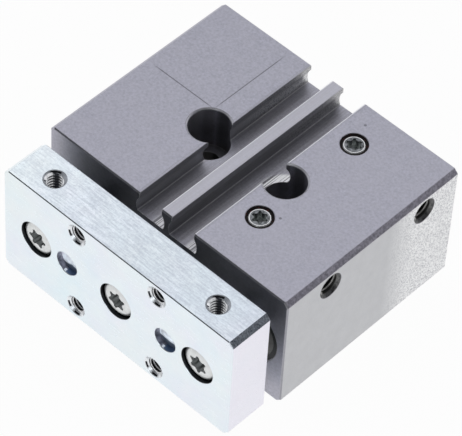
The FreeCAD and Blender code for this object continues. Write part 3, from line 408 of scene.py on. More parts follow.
def slot_marks(tree, base, x, z, top, drawn):
    """Paints the slots: long drawn lines, painted shade on the walls, painted highlights along the creases and a
    lighter rib; gives the mask for the lips' painted highlight.
    """
    slots = both(tree, between(tree, x, -SLOTS_HALF, SLOTS_HALF, 0.1), ramp_of(tree, z, FLOOR, FLOOR + 0.2))
    lines = ramp_of(tree, drawn, 0.25, 0.75)
    base = paint(tree, base, tone(0.24, 0.235, 0.26), slots, lines, 0.35)
    # painted shade on the slots' walls
    base = paint(tree, base, tone(0.2, 0.195, 0.21), slots, less(tree, top), 0.45)
    # painted highlights along the creases where the walls meet the floors
    offset = sum_of(tree, "ABSOLUTE", x)
    crease_highlight = either(tree, between(tree, offset, 0.78, 0.94, 0.03), between(tree, offset, 6.96, 7.12, 0.03))
    base = paint(tree, base, tone(0.8, 0.79, 0.83), crease_highlight, ramp_of(tree, z, FLOOR + 0.48, FLOOR + 0.4), slots, 0.7)
    level = both(tree, top, ramp_of(tree, z, LAND, LAND + 0.3))
    base = paint(tree, base, tone(0.64, 0.63, 0.68), between(tree, x, -RIB_HALF, RIB_HALF, 0.05), level, 0.5)
    # the lips: a painted highlight along the slots' top edges, laid on by the caller
    lip_highlights = either(tree, between(tree, x, 6.62, 6.82, 0.02), between(tree, x, -1.28, -1.1, 0.02))
    return base, slots, both(tree, lip_highlights, level)


def port_marks(tree, base, here, x, side, grain):
    """Paints the ports: dark streaked countersinks, and bores in painted shade, black deeper in."""
    outside = ramp_of(tree, x, HOUSING_RIGHT - 6.5, HOUSING_RIGHT - 6.0)
    reach = both(tree, outside, reach_from(tree, here, PORT_MIDDLE, (0.0, PORT_HALF, 0.0), ROUND_X))
    reach = sum_of(tree, "ADD", reach, both(tree, less(tree, outside), INSIDE))
    streaks = blend_of(tree, grain, tone(0.02, 0.02, 0.02), tone(0.19, 0.19, 0.19))
    base = paint(tree, base, streaks, ramp_of(tree, reach, 2.72, 2.64), less(tree, side), 0.93)
    deeper = ramp_of(tree, x, HOUSING_RIGHT - 0.5, HOUSING_RIGHT - 2.2)
    bore_shade = blend_of(tree, deeper, tone(0.16, 0.16, 0.155), tone(0.01, 0.01, 0.01))
    return paint(tree, base, bore_shade, ramp_of(tree, reach, 2.16, 2.12))


def anodised_housing_finish():
    """Matt natural anodising on the drawn profile: mottled top, smoother sides, dark chamfers of painted shade, and
    painted light and shade in the slots, on the front face, in the bores and towards the rear of the right side.
    """
    finish, tree, shader, here = new_finish("anodised_housing")
    skin = use(tree, MOTTLE, {"Vector": here, "Fine": 2100.0, "Wide": 420.0})
    grain, patches = skin["Grain"], skin["Patches"]
    frost = use(tree, MOTTLE, {"Vector": here, "Fine": 3300.0, "Wide": 900.0})["Grain"]
    drawn = use(tree, GRAIN, {"Vector": here, "Stretch": (1.0, 0.012, 1.0), "Scale": 3600.0})["Lines"]
    edge = use(tree, EDGE_HIGHLIGHT, {"Vector": here, "Radius": 0.0002, "Break": 1400.0})
    pits = use(tree, SPECKS, {"Vector": here, "Scale": 210.0, "Size": 0.06, "Share": 0.14})["Specks"]
    sparkle = use(tree, SPECKS, {"Vector": here, "Scale": 2200.0, "Size": 0.42, "Share": 0.5})["Specks"]
    deep = use(tree, CREVICE, {"Reach": 0.006, "Open": 0.7, "Closed": 0.25})["Depth"]
    x, y, z = millimetres(tree, here)
    top, side, ahead = facing(tree, UP), facing(tree, RIGHT), facing(tree, FORWARD, 0.9)

    base = blend_of(tree, grain, tone(0.355, 0.352, 0.41), tone(0.53, 0.525, 0.605))
    base = paint(tree, base, tone(0.5, 0.49, 0.55), patches, 0.3)
    # the right side: smooth in front; towards the rear a pale painted reflection over a frosted grain, with
    # sparkling specks
    rear = ramp_of(tree, y, 4.0, 11.0)
    smooth = blend_of(tree, both(tree, patches, 0.5), tone(0.575, 0.58, 0.6), tone(0.64, 0.645, 0.665))
    painted_rear_reflection = blend_of(tree, ramp_of(tree, frost, 0.25, 0.6), tone(0.58, 0.585, 0.61), tone(0.99, 0.995, 1.0))
    smooth = paint(tree, smooth, painted_rear_reflection, rear, 0.95)
    smooth = paint(tree, smooth, tone(0.4, 0.4, 0.43), sparkle, rear, 0.6)
    base = paint(tree, base, smooth, side)
    base, slots, lip_highlights = slot_marks(tree, base, x, z, top, drawn)

    # edge breaks in painted shade, then the lips' painted highlight and the counterbores' rims
    speckled_chamfer_shade = blend_of(tree, grain, tone(0.32, 0.3, 0.37), tone(0.78, 0.74, 0.84))
    base = paint(tree, base, speckled_chamfer_shade, facing(tree, RIGHT_BREAK, 0.95, 0.99), 0.8)
    base = paint(tree, base, tone(0.2, 0.2, 0.22), facing(tree, FRONT_BREAK, 0.95, 0.99), 0.7)
    base = paint(tree, base, tone(0.3, 0.3, 0.32), facing(tree, FRONT_RIGHT_BREAK, 0.95, 0.99), 0.6)
    base = paint(tree, base, tone(0.22, 0.22, 0.24), facing(tree, TOP_CORNER, 0.9, 0.96))
    base = paint(tree, base, tone(0.95, 0.95, 0.98), lip_highlights, 0.75)
    rim = reach_from(tree, here, *pattern_of("housing_through_holes"), ROUND_Z)
    high = ramp_of(tree, z, LAND, LAND + 0.1)
    sloped = between(tree, rim, COUNTERBORE + 0.06, COUNTERBORE + 0.27, 0.02)
    lined = between(tree, rim, COUNTERBORE + 0.29, COUNTERBORE + 0.36, 0.02)
    base = paint(tree, base, tone(0.9, 0.89, 0.93), high, sloped, 0.8)
    base = paint(tree, base, tone(0.14, 0.14, 0.15), high, lined, 0.7)

    # painted shade on the front face behind the plate; pits and the two printed lines on the top
    shade = either(tree, ramp_of(tree, x, 12.0, 27.0, 0.65, 0.0), ramp_of(tree, z, 12.0, 24.0, 0.0, 0.55))
    base = paint(tree, base, tone(0.052, 0.056, 0.06), ahead, shade, ramp_of(tree, x, -29.0, -20.0))
    base = paint(tree, base, tone(0.08, 0.08, 0.09), top, pits, 0.6)
    strokes = [use(tree, STROKE, {"Vector": here, "Centre": mm(*centre), "Half": mm(*half)})["Mask"]
               for centre, half in PRINTED]
    base = paint(tree, base, tone(0.12, 0.115, 0.13), either(tree, *strokes), 0.75)
    # painted highlight along the edges, stronger across the slots
    highlight_share = ramp_of(tree, between(tree, x, -8.5, 8.5, 0.3), 0.0, 1.0, 0.35, 0.95)
    base = paint(tree, base, tone(0.92, 0.92, 0.94), edge["Edge"], highlight_share)
    # painted shade where the surface is closed in
    base = paint(tree, base, tone(0.18, 0.172, 0.15), deep, 0.8)

    # painted light: bright patches by the right counterbore and at the slots' mouths, crossed by drawn lines
    by_bore = both(tree, between(tree, rim, COUNTERBORE - 0.3, COUNTERBORE + 1.8, 0.3), ramp_of(tree, x, 3.2, 4.4))
    mouths = either(tree, between(tree, x, 4.7, 7.4, 0.3), between(tree, x, -3.4, -0.8, 0.3))
    mouths = both(tree, mouths, ramp_of(tree, y, HOUSING_FRONT + 2.6, HOUSING_FRONT + 1.8, 0.0, 0.7))
    painted_light_patches = blend_of(tree, ramp_of(tree, drawn, 0.5, 0.62), tone(1.0, 1.0, 1.0), tone(0.1, 0.1, 0.1))
    base = paint(tree, base, painted_light_patches, slots, either(tree, by_bore, mouths), ramp_of(tree, z, LAND, LAND - 0.6),
                 less(tree, facing(tree, FORWARD, 0.3, 0.6)), 0.75)
    base = port_marks(tree, base, here, x, side, grain)

    lay_on(tree, shader, base, grain, (0.0, 1.0, 0.36, 0.48), 0.8)
    relief = sum_of(tree, "MULTIPLY_ADD", both(tree, slots, drawn), 1.2, grain)
    relief = sum_of(tree, "MULTIPLY_ADD", both(tree, rear, side), both(tree, frost, 1.5), relief)
    raise_skin(tree, shader, relief, 0.000012, edge["Normal"])
    return finish


# ---------------------------------------------------------------- yoke plate


THREAD_CORE, SCREW_BORE = 1.67, 3.79     # radii of the dark walls, mm


def edge_hole_marks(tree, base, here, up):
    """Paints the countersinks of the edge holes, with a dark painted reflection as a slit on their far side."""
    reach = reach_from(tree, here, *pattern_of("yoke_top_threads"), ROUND_Z)
    cone = both(tree, ramp_of(tree, reach, 2.25, 2.2), less(tree, up))
    far_side = facing(tree, FAR_WALL, 0.58, 0.63)
    base = paint(tree, base, tone(0.7, 0.73, 0.78), cone)
    base = paint(tree, base, tone(0.008, 0.008, 0.012), cone, between(tree, reach, 1.82, 2.12, 0.04), far_side)
    return base, cone


def face_hole_marks(tree, base, here, sides):
    """Paints the countersinks of the face holes, with two dark slits."""
    reach = reach_from(tree, here, *pattern_of("yoke_face_threads"), ROUND_Y)
    cone = both(tree, ramp_of(tree, reach, 2.35, 2.3), sides)
    slits = both(tree, between(tree, turned_to(tree, (0.492, 0.0, 0.87)), 0.42, 0.675, 0.01),
                 between(tree, reach, 1.9, 2.15, 0.04))
    base = paint(tree, base, tone(0.9, 0.93, 0.96), cone)
    return paint(tree, base, tone(0.01, 0.01, 0.015), cone, slits)


def centring_hole_marks(tree, shader, base, here, sides, patches):
    """Paints the centring holes: a bright floor with blue painted shade on its lower part, a wall in painted shade
    with a painted highlight streak, and a weak glow where lit.
    """
    y, z = millimetres(tree, here)[1:3]
    middle, half = pattern_of("yoke_centring_holes")
    reach = reach_from(tree, here, middle, half, ROUND_Y)
    seat = both(tree, ramp_of(tree, reach, 2.56, 2.52), ramp_of(tree, y, PLATE_FRONT + 0.05, PLATE_FRONT + 0.1))
    level = middle.z / MM
    uneven = sum_of(tree, "MULTIPLY_ADD", patches, 0.6, z)
    # painted shade on the lower part of the floor
    low_floor_shade = both(tree, ramp_of(tree, uneven, level - 0.75, level - 1.25), seat)
    wear_and_light_patches = use(tree, MOTTLE, {"Vector": here, "Fine": 2600.0, "Wide": 900.0})["Patches"]
    along = turned_to(tree, (0.87, 0.0, -0.49))
    wall = both(tree, seat, sides)
    # a painted highlight streak on the wall
    wall_highlight = both(tree, wall, between(tree, along, -0.34, -0.18, 0.05),
                  ramp_of(tree, y, PLATE_FRONT + 0.75, PLATE_FRONT + 0.6))
    # painted shade on the wall, mottled
    dark = blend_of(tree, wear_and_light_patches, tone(0.07, 0.07, 0.1), tone(0.5, 0.49, 0.58))
    dark = blend_of(tree, ramp_of(tree, along, -0.4, -0.2), tone(0.1, 0.16, 0.28), dark)
    base = paint(tree, base, tone(0.96, 0.98, 1.0), seat)
    base = paint(tree, base, tone(0.14, 0.2, 0.3), low_floor_shade, 0.9)
    base = paint(tree, base, dark, wall, 0.95)
    base = paint(tree, base, tone(0.95, 0.97, 1.0), wall_highlight)
    lit = either(tree, both(tree, seat, less(tree, either(tree, low_floor_shade, wall))), wall_highlight)
    light_up(tree, shader, both(tree, lit, ramp_of(tree, wear_and_light_patches, 0.2, 0.8, 0.6, 0.2)), tone(0.78, 0.88, 1.0))
    return base, seat


def zinc_plate_finish():
    """Ground steel under bright blue zinc: even faces, brushed along X on the edges; painted shade on the chamfers,
    in the holes and where closed in, a painted highlight along the edges, and a weak glow in the centring holes.
    """
    finish, tree, shader, here = new_finish("zinc_plated_yoke")
    brushed = use(tree, GRAIN, {"Vector": here, "Stretch": (0.1, 1.0, 1.0), "Scale": 3400.0})["Lines"]
    skin = use(tree, MOTTLE, {"Vector": here, "Fine": 2600.0, "Wide": 260.0})
    hue = use(tree, TINTS, {"Vector": here, "Scale": 55.0})
    edge = use(tree, EDGE_HIGHLIGHT, {"Vector": here, "Radius": 0.00007, "Break": 1600.0})
    deep = use(tree, JOINED, {"Reach": 0.0025, "Open": 0.52, "Closed": 0.26})["Depth"]
    x = millimetres(tree, here)[0]
    up, front = facing(tree, UP), facing(tree, FORWARD, 0.9)
    sides = less(tree, front)

    base = blend_of(tree, skin["Patches"], tone(0.87, 0.96, 1.0), tone(0.91, 0.975, 1.0))
    base = paint(tree, base, blend_of(tree, 1.0, base, hue["Tint"], "MULTIPLY"), hue["Amount"], 0.5)
    base = paint(tree, base, tone(0.9, 0.86, 0.95), facing(tree, RIGHT), 0.7)
    # the top edge: sawn and brushed, paler at its left end and duller to the right
    sawn = sum_of(tree, "MULTIPLY_ADD", skin["Grain"], 0.5, both(tree, brushed, 0.6))
    base = paint(tree, base, tone(0.56, 0.61, 0.68), up, ramp_of(tree, x, -26.0, -12.0, 0.68, 1.0),
                 ramp_of(tree, sawn, 0.3, 0.8, 0.06, 0.74))
    base = paint(tree, base, tone(0.6, 0.64, 0.72), brushed, 0.04)
    base = paint(tree, base, tone(0.5, 0.55, 0.62), up, ramp_of(tree, x, -20.0, 2.0, 0.0, 0.3))
    # painted shade on the right and front chamfers
    speckled_chamfer_shade = blend_of(tree, ramp_of(tree, sawn, 0.2, 0.9), tone(0.1, 0.13, 0.18), tone(0.62, 0.67, 0.76))
    base = paint(tree, base, speckled_chamfer_shade, facing(tree, RIGHT_BREAK, 0.95, 0.99), 0.85)
    base = paint(tree, base, tone(0.12, 0.14, 0.17), facing(tree, FRONT_BREAK, 0.93, 0.99), 0.85)
    # painted highlight along the edges
    base = paint(tree, base, tone(0.93, 0.95, 0.98), edge["Edge"], 0.25)
    # painted shade where the surface is closed in
    base = paint(tree, base, tone(0.03, 0.035, 0.045), deep, 0.9)

    base, cone = edge_hole_marks(tree, base, here, up)
    base = face_hole_marks(tree, base, here, sides)
    base, seat = centring_hole_marks(tree, shader, base, here, sides, skin["Patches"])
    # painted shade: black walls of the thread holes and of the screws' counterbores
    middle, threads = pattern_of("yoke_face_threads")
    above, outer = pattern_of("yoke_top_threads")
    for centre, half, across, reach, open_face in (
            (middle, threads, ROUND_Y, THREAD_CORE, front), (middle, Vector(), ROUND_Y, SCREW_BORE, front),
            (middle, outer, ROUND_Y, SCREW_BORE, front), (above, outer, ROUND_Z, THREAD_CORE, up)):
        near = reach_from(tree, here, centre, half, across)
        base = paint(tree, base, tone(0.012, 0.013, 0.017), ramp_of(tree, near, reach + 0.02, reach),
                     less(tree, open_face), 0.96)

    plated = ramp_of(tree, either(tree, cone, seat), 0.0, 1.0, 0.85, 0.35)
    lay_on(tree, shader, base, sawn, (0.2, 0.9, 0.27, 0.37), plated)
    raise_skin(tree, shader, both(tree, sawn, ramp_of(tree, up, 0.0, 1.0, 0.25, 1.0)), 0.000008, edge["Normal"])
    return finish


# ---------------------------------------------------------------- other finishes


def turned_steel_finish(name, colour, dark, metallic, rough, wear_and_light_patches=0.25):
    """Turned or ground steel, with fine rings about the middle axis, a light mottle, a painted highlight along its
    edges and painted shade where it is closed in.
    """
    finish, tree, shader, here = new_finish(name)
    rings = use(tree, RINGS, {"Vector": here, "Scale": 5200.0})["Rings"]
    skin = use(tree, MOTTLE, {"Vector": here, "Fine": 4200.0, "Wide": 900.0})
    edge = use(tree, EDGE_HIGHLIGHT, {"Vector": here, "Radius": 0.0001, "Break": 2400.0})
    deep = use(tree, JOINED, {"Reach": 0.0015, "Open": 0.6, "Closed": 0.3})["Depth"]
    base = blend_of(tree, both(tree, rings, 0.35), colour, dark)
    base = paint(tree, base, dark, skin["Patches"], wear_and_light_patches)
    # painted highlight along the edges, then painted shade where closed in
    base = paint(tree, base, tone(0.86, 0.86, 0.86), edge["Edge"], 0.35)
    base = paint(tree, base, tone(0.05, 0.05, 0.042), deep, 0.75)
    lay_on(tree, shader, base, skin["Grain"], (0.0, 1.0, rough, rough + 0.1), metallic)
    raise_skin(tree, shader, rings, 0.000004, edge["Normal"])
    return finish


def plug_finish(middle, half_pitch, radius):
    """Screwed plugs: a bright turned rim round a duller face, and a star dark by its depth, with painted light in
    its recess: a lighter colour and a weak glow.
    """
    finish, tree, shader, here = new_finish("screwed_plug_steel")
    reach = reach_from(tree, here, middle, (0.0, half_pitch, 0.0), ROUND_Z)
    rim = ramp_of(tree, reach, radius / MM - 0.3, radius / MM - 0.22)
    skin = use(tree, MOTTLE, {"Vector": here, "Fine": 4200.0, "Wide": 1500.0})
    patches = skin["Patches"]
    deep = use(tree, JOINED, {"Reach": 0.0015, "Open": 0.62, "Closed": 0.32})["Depth"]
    base = blend_of(tree, patches, tone(0.03, 0.034, 0.036), tone(0.3, 0.31, 0.33))
    base = paint(tree, base, tone(0.97, 0.97, 0.98), rim, 0.95)
    # painted light: the star's recess painted lighter, with a weak glow below
    lightened_star = blend_of(tree, patches, tone(0.2, 0.23, 0.22), tone(0.75, 0.8, 0.79))
    base = paint(tree, base, lightened_star, deep, 0.85)
    light_up(tree, shader, both(tree, deep, 0.1), base)
    lay_on(tree, shader, base, skin["Grain"], (0.0, 1.0, 0.26, 0.38), 0.85)
    raise_skin(tree, shader, patches, 0.00001)
    return finish


def thread_finish(name, lit, crest, root, axes, shaded, glows):
    """Cut threads: a painted highlight where a flank faces along its hole, painted shade on the crests, the root
    colour in random dark patches, and a weak glow.

    Of the axes and the glows, the first is for holes beyond 15 mm from the middle plane and
    the second for holes inside that. A far flank turned to the shaded direction is dark.
    """
    finish, tree, shader, here = new_finish(name)
    skin = use(tree, MOTTLE, {"Vector": here, "Fine": 5200.0, "Wide": 1500.0})
    far = ramp_of(tree, sum_of(tree, "ABSOLUTE", millimetres(tree, here)[0]), 14.9, 15.1)
    far_flank, near_flank = (sum_of(tree, "ABSOLUTE", turned_to(tree, axis)) for axis in axes)
    flank = sum_of(tree, "ADD", both(tree, far, far_flank), both(tree, less(tree, far), near_flank))
    base = blend_of(tree, ramp_of(tree, flank, 0.3, 0.5), crest, lit)
    base = paint(tree, base, root, ramp_of(tree, turned_to(tree, shaded), 0.42, 0.455), far)
    base = paint(tree, base, root, ramp_of(tree, skin["Patches"], 0.35, 0.9, 0.0, 0.45))
    light_up(tree, shader, ramp_of(tree, far, 0.0, 1.0, glows[1], glows[0]), base)
    lay_on(tree, shader, base, skin["Grain"], (0.0, 1.0, 0.2, 0.34), 0.35)
    raise_skin(tree, shader, skin["Grain"], 0.000006)
    return finish


def moulded_finish(name, colour, light, rough, metallic=0.0):
    """Rubber, plastic or sintered stock: a fine skin with soft patches and a little dust."""
    finish, tree, shader, here = new_finish(name)
    skin = use(tree, MOTTLE, {"Vector": here, "Fine": 2600.0, "Wide": 500.0})
    dust = use(tree, SPECKS, {"Vector": here, "Scale": 1800.0, "Size": 0.16, "Share": 0.12})["Specks"]
    base = blend_of(tree, skin["Patches"], colour, light)
    base = paint(tree, base, light, dust, 0.25)
    lay_on(tree, shader, base, skin["Grain"], (0.0, 1.0, rough, rough + 0.12), metallic)
    raise_skin(tree, shader, skin["Grain"], 0.00001)
    return finish


def wiper_finish():
    """Black rubber scraper: matt face, with a painted sheen on its sloped collar."""
    finish, tree, shader, here = new_finish("black_wiper_rubber")
    skin = use(tree, MOTTLE, {"Vector": here, "Fine": 2600.0, "Wide": 500.0})
    slope = sum_of(tree, "SUBTRACT", facing(tree, FORWARD, 0.3, 0.5), facing(tree, FORWARD, 0.85, 0.97), clamp=True)
    painted_sheen = blend_of(tree, skin["Patches"], tone(0.06, 0.06, 0.06), tone(0.13, 0.13, 0.125))
    base = blend_of(tree, skin["Patches"], tone(0.006, 0.006, 0.006), tone(0.016, 0.016, 0.017))
    lay_on(tree, shader, paint(tree, base, painted_sheen, slope), skin["Grain"], (0.0, 1.0, 0.36, 0.5))
    raise_skin(tree, shader, skin["Grain"], 0.00001)
    return finish


def sealant_finish():
    """Cured thread sealant: nearly black, with rusty red flecks."""
    finish, tree, shader, here = new_finish("dark_thread_sealant")
    skin = use(tree, MOTTLE, {"Vector": here, "Fine": 3200.0, "Wide": 900.0})
    flecks = use(tree, SPECKS, {"Vector": here, "Scale": 2600.0, "Size": 0.4, "Share": 0.3})["Specks"]
    base = blend_of(tree, skin["Grain"], tone(0.004, 0.003, 0.003), tone(0.016, 0.009, 0.009))
    base = paint(tree, base, tone(0.16, 0.03, 0.025), flecks, ramp_of(tree, skin["Patches"], 0.3, 0.8), 0.7)
    lay_on(tree, shader, base, skin["Patches"], (0.0, 1.0, 0.5, 0.8))
    shader.inputs["Specular IOR Level"].default_value = 0.2
    raise_skin(tree, shader, skin["Grain"], 0.00003)
    return finish


# ---------------------------------------------------------------- floor and world


def floor_finish():
    """Pale sheet: near white to the camera and in reflections, with the shadow kept."""
    finish, tree, shader = new_finish("pale_floor")[:3]
    shader.inputs["Base Color"].default_value = tone(0.86, 0.86, 0.86)
    shader.inputs["Roughness"].default_value = 0.9
    path = put(tree, "ShaderNodeLightPath").outputs
    glow = put(tree, "ShaderNodeEmission", {"Color": tone(1.0, 1.0, 1.0), "Strength": 1.0})
    seen = either(tree, both(tree, path["Is Camera Ray"], 0.97), path["Is Glossy Ray"])
    mix = put(tree, "ShaderNodeMixShader", {0: seen, 1: shader.outputs[0], 2: glow.outputs[0]})
    out = next(node for node in tree.nodes if node.type == "OUTPUT_MATERIAL")
    tree.links.new(mix.outputs[0], out.inputs["Surface"])
    return finish


def pale_floor():
    """A wide flat sheet just under the housing."""
    work = bmesh.new()
    bmesh.ops.create_grid(work, x_segments=8, y_segments=8, size=3.0)
    bmesh.ops.translate(work, vec=Vector((0.0, 0.0, cad_box[0][2] - 0.02 * MM)), verts=work.verts)
    mesh = bpy.data.meshes.new("pale_floor")
    work.to_mesh(mesh)
    work.free()
    sheet = bpy.data.objects.new("pale_floor", mesh)
    bpy.context.scene.collection.objects.link(sheet)
    mesh.materials.append(floor_finish())


def studio_world():
    """White behind the object for the camera; for the light, a wall of soft light behind and left."""
    world = bpy.data.worlds.new("studio_world")
    bpy.context.scene.world = world
    world.use_nodes = True
    tree = world.node_tree
    tree.nodes.clear()
    camera_ray = put(tree, "ShaderNodeLightPath").outputs["Is Camera Ray"]
    way = put(tree, "ShaderNodeTexCoord").outputs["Generated"]
    wall = ramp_of(tree, vector_of(tree, "DOT_PRODUCT", way, (-0.6, 0.7, 0.387)), -0.05, 0.7, 0.1, 0.85)
    height = put(tree, "ShaderNodeSeparateXYZ", {"Vector": way}).outputs[2]
    level = both(tree, wall, ramp_of(tree, height, 0.3, 0.62, 1.0, 0.6))
    around = put(tree, "ShaderNodeBackground", {"Color": tone(0.94, 0.96, 1.0), "Strength": level})
    white = put(tree, "ShaderNodeBackground", {"Color": tone(1.0, 1.0, 1.0), "Strength": 1.0})
    mix = put(tree, "ShaderNodeMixShader", {0: camera_ray, 1: around.outputs[0], 2: white.outputs[0]})
    put(tree, "ShaderNodeOutputWorld", {"Surface": mix.outputs[0]})


studio_camera()
studio_world()
pale_floor()
softbox("overhead_softbox", (-0.4, 0.45, 1.3), 1.3, 1.2, 0.72)
softbox("front_fill", (0.43, -1.1, 0.5), 0.5, 0.45, 2.2, (0.93, 0.97, 1.0))
softbox("low_right_softbox", (1.1, -0.75, 0.12), 0.9, 0.24, 0.8)


# ---------------------------------------------------------------- finishes on the pieces


def dress(finish, *names):
    for name in names:
        for slot in nodes[name].material_slots:
            slot.material = finish


PORTS = [Vector(mount(name)["pos_m"]) for name in ("front_air_port", "rear_air_port")]
PORT_MIDDLE, PORT_HALF = (PORTS[0] + PORTS[1]) / 2, abs(PORTS[1].y - PORTS[0].y) / 2
HOUSING_LOW, HOUSING_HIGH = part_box("housing")
PLATE_LOW, PLATE_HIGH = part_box("yoke_plate")
HOUSING_FRONT, HOUSING_RIGHT, PLATE_FRONT = HOUSING_LOW.y / MM, HOUSING_HIGH.x / MM, PLATE_LOW.y / MM
PLUGS_LOW, PLUGS_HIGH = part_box("blanking_plugs")
PLUG_RADIUS = (PLUGS_HIGH.x - PLUGS_LOW.x) / 2
PLUGS_HALF = (PLUGS_HIGH.y - PLUGS_LOW.y) / 2 - PLUG_RADIUS
BUSHINGS = ["ball_bushing_%s_%s" % (side, end) for side in ("left", "right") for end in ("front", "rear")]

dress(anodised_housing_finish(), "housing")
dress(zinc_plate_finish(), "yoke_plate")
dress(turned_steel_finish("satin_screw_steel", tone(0.9, 0.92, 0.93), tone(0.6, 0.61, 0.6), 0.8, 0.3, wear_and_light_patches=0.5),
      "yoke_screws")
dress(plug_finish((PLUGS_LOW + PLUGS_HIGH) / 2, PLUGS_HALF, PLUG_RADIUS), "blanking_plugs")
dress(turned_steel_finish("ground_rod_chrome", tone(0.8, 0.8, 0.82), tone(0.66, 0.66, 0.69), 0.97, 0.12),
      "guide_rod_left", "guide_rod_right", "piston_rod")
dress(turned_steel_finish("turned_cap_aluminium", tone(0.6, 0.6, 0.62), tone(0.42, 0.42, 0.45), 0.7, 0.32),
      "front_cap", "rear_cap", "piston_front_disc", "piston_rear_disc", "piston_nut")
dress(turned_steel_finish("bearing_race_steel", tone(0.68, 0.69, 0.71), tone(0.5, 0.5, 0.53), 0.9, 0.22),
      *[name + piece for name in BUSHINGS for piece in ("_sleeve", "_balls")])
dress(turned_steel_finish("phosphated_spring_steel", tone(0.2, 0.2, 0.21), tone(0.1, 0.1, 0.11), 0.7, 0.42),
      "cap_retaining_rings", "guide_retaining_rings")
dress(moulded_finish("natural_acetal", tone(0.74, 0.72, 0.65), tone(0.82, 0.8, 0.74), 0.42),
      *[name + "_cage" for name in BUSHINGS])
dress(moulded_finish("sintered_bronze", tone(0.45, 0.31, 0.16), tone(0.6, 0.44, 0.25), 0.4, 0.8), "rod_bush")
dress(moulded_finish("bonded_magnet", tone(0.08, 0.08, 0.09), tone(0.14, 0.14, 0.15), 0.5), "piston_magnet")
dress(moulded_finish("blue_black_polyurethane", tone(0.05, 0.07, 0.14), tone(0.09, 0.12, 0.22), 0.3),
      "rod_seal", "front_piston_seal", "rear_piston_seal", "front_cushion_ring", "rear_cushion_ring")
dress(moulded_finish("black_nitrile", tone(0.015, 0.015, 0.016), tone(0.04, 0.04, 0.042), 0.45),
      "front_cap_o_ring", "rear_cap_o_ring", "piston_wear_band")
dress(wiper_finish(), "guide_wiper_left", "guide_wiper_right")


# ---------------------------------------------------------------- cut threads and sealant


def hole_places(name):
    """Centres of a mount's holes, spaced across X and, where it says so, up Z."""
    centre, half = pattern_of(name)
    columns, rows = ((-1, 1) if reach else (0,) for reach in (half.x, half.z))
    return [centre + Vector((i * half.x, 0.0, j * half.z)) for i in columns for j in rows]


def cut_thread(work, mouth, inward, core, pitch, turns, root, crest):
    """One thread: a rib with a narrow crest and its root in the wall, spun down its hole."""
    out = inward.orthogonal().normalized()
    rib = [(core + root, 0.94), (core - crest, 0.56), (core - crest, 0.46), (core + root, 0.08)]
    corners = [work.verts.new(mouth + out * reach + inward * (pitch * share)) for reach, share in rib]
    face = work.faces.new(corners)
    steps = 28      # to a turn
    made = bmesh.ops.spin(work, geom=corners + list(face.edges), cent=mouth, axis=inward,
                          dvec=inward * (pitch / steps), angle=math.tau * turns, steps=steps * turns,
                          use_merge=False, use_duplicate=False)
    last = [item for item in made["geom_last"] if isinstance(item, bmesh.types.BMEdge)]
    bmesh.ops.holes_fill(work, edges=last, sides=4)


def finished_piece(name, work, finish, body):
    """Closes a bmesh into an object at the origin, with its finish, body and slot."""
    bmesh.ops.recalc_face_normals(work, faces=work.faces)
    mesh = bpy.data.meshes.new(name)
    work.to_mesh(mesh)
    work.free()
    piece = bpy.data.objects.new(name, mesh)
    bpy.context.scene.collection.objects.link(piece)
    mesh.materials.append(finish)
    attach(piece, body)


def yoke_threads():
    """M4 threads in the plate's face, through, and in its top and bottom edges."""
    start, core = 0.12 * MM, mount("yoke_face_threads")["dims"]["hole_r_mm"] * MM
    pitch, root, crest = 0.7 * MM, 0.3 * MM, 0.2 * MM
    work = bmesh.new()
    for place in hole_places("yoke_face_threads"):
        place.y = PLATE_LOW.y + start
        cut_thread(work, place, Vector((0, 1, 0)), core, pitch, 12, root, crest)
    for name, level, inward in (("yoke_top_threads", PLATE_HIGH.z - start, -1),
                                ("yoke_bottom_threads", PLATE_LOW.z + start, 1)):
        for place in hole_places(name):
            place.z = level
            cut_thread(work, place, Vector((0, 0, inward)), core, pitch, 8, root, crest)
    finish = thread_finish("cut_thread_zinc", tone(0.97, 0.98, 1.0), tone(0.03, 0.032, 0.04),
                           tone(0.03, 0.033, 0.04), (UP, FORWARD), FAR_WALL, (0.3, 0.09))
    finished_piece("yoke_threads", work, finish, "yoke")


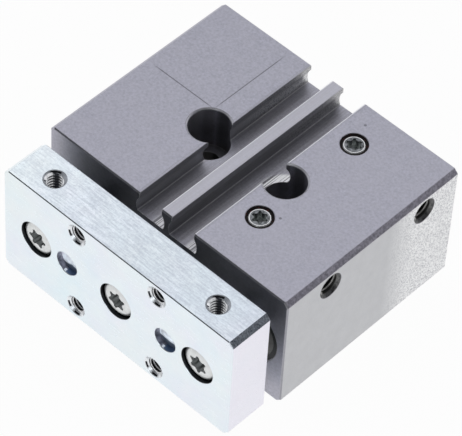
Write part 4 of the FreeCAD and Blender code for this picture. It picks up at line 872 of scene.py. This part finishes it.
def port_threads():
    """M5 threads in the two air ports."""
    start, core = 0.3 * MM, mount("front_air_port")["dims"]["r_mm"] * MM
    pitch, root, crest = 0.8 * MM, 0.34 * MM, 0.24 * MM
    work = bmesh.new()
    for place in PORTS:
        mouth = Vector((HOUSING_HIGH.x - start, place.y, place.z))
        cut_thread(work, mouth, Vector((-1, 0, 0)), core, pitch, 6, root, crest)
    finish = thread_finish("cut_thread_aluminium", tone(0.55, 0.545, 0.53), tone(0.34, 0.335, 0.325),
                           tone(0.03, 0.028, 0.026), (RIGHT, RIGHT), (0.0, 0.0, 0.0), (0.02, 0.02))
    finished_piece("port_threads", work, finish, "housing_body")


def plug_sealant():
    """Dark thread sealant that fills the countersink round each of the two blanking plugs."""
    profile = [(0.01, -0.5), (0.62, -0.07), (0.5, -0.1), (0.3, -0.3), (0.01, -0.36)]   # out, up, mm
    work = bmesh.new()
    for y, start in ((PLUGS_LOW.y + PLUG_RADIUS, 0.0), (PLUGS_HIGH.y - PLUG_RADIUS, 2.0)):
        centre = Vector(((PLUGS_LOW.x + PLUGS_HIGH.x) / 2, y, 0.0))
        corners = [work.verts.new(centre + Vector((PLUG_RADIUS + out * MM, 0, HOUSING_HIGH.z + rise * MM)))
                   for out, rise in profile]
        edges = [work.edges.new((corners[i], corners[i - 1])) for i in range(len(corners))]
        bmesh.ops.spin(work, geom=corners + edges, cent=centre, axis=Vector((0, 0, 1)), dvec=Vector(),
                       angle=math.tau, steps=72, use_merge=True, use_duplicate=False)
        # uneven swells and hollows round the outer part of this ring
        for vert in work.verts:
            way = vert.co - centre
            way.z = 0.0
            if PLUG_RADIUS + 0.2 * MM < way.length < 4 * MM:
                turn = math.atan2(way.y, way.x) + start
                swell = math.sin(5 * turn) + 0.7 * math.sin(11 * turn + 1.3) + 0.5 * math.sin(23 * turn)
                vert.co -= way.normalized() * (0.03 * MM * max(0.0, swell))
                vert.co.z -= 0.02 * MM * max(0.0, -swell)
    finished_piece("plug_sealant", work, sealant_finish(), "housing_body")


yoke_threads()
port_threads()
plug_sealant()
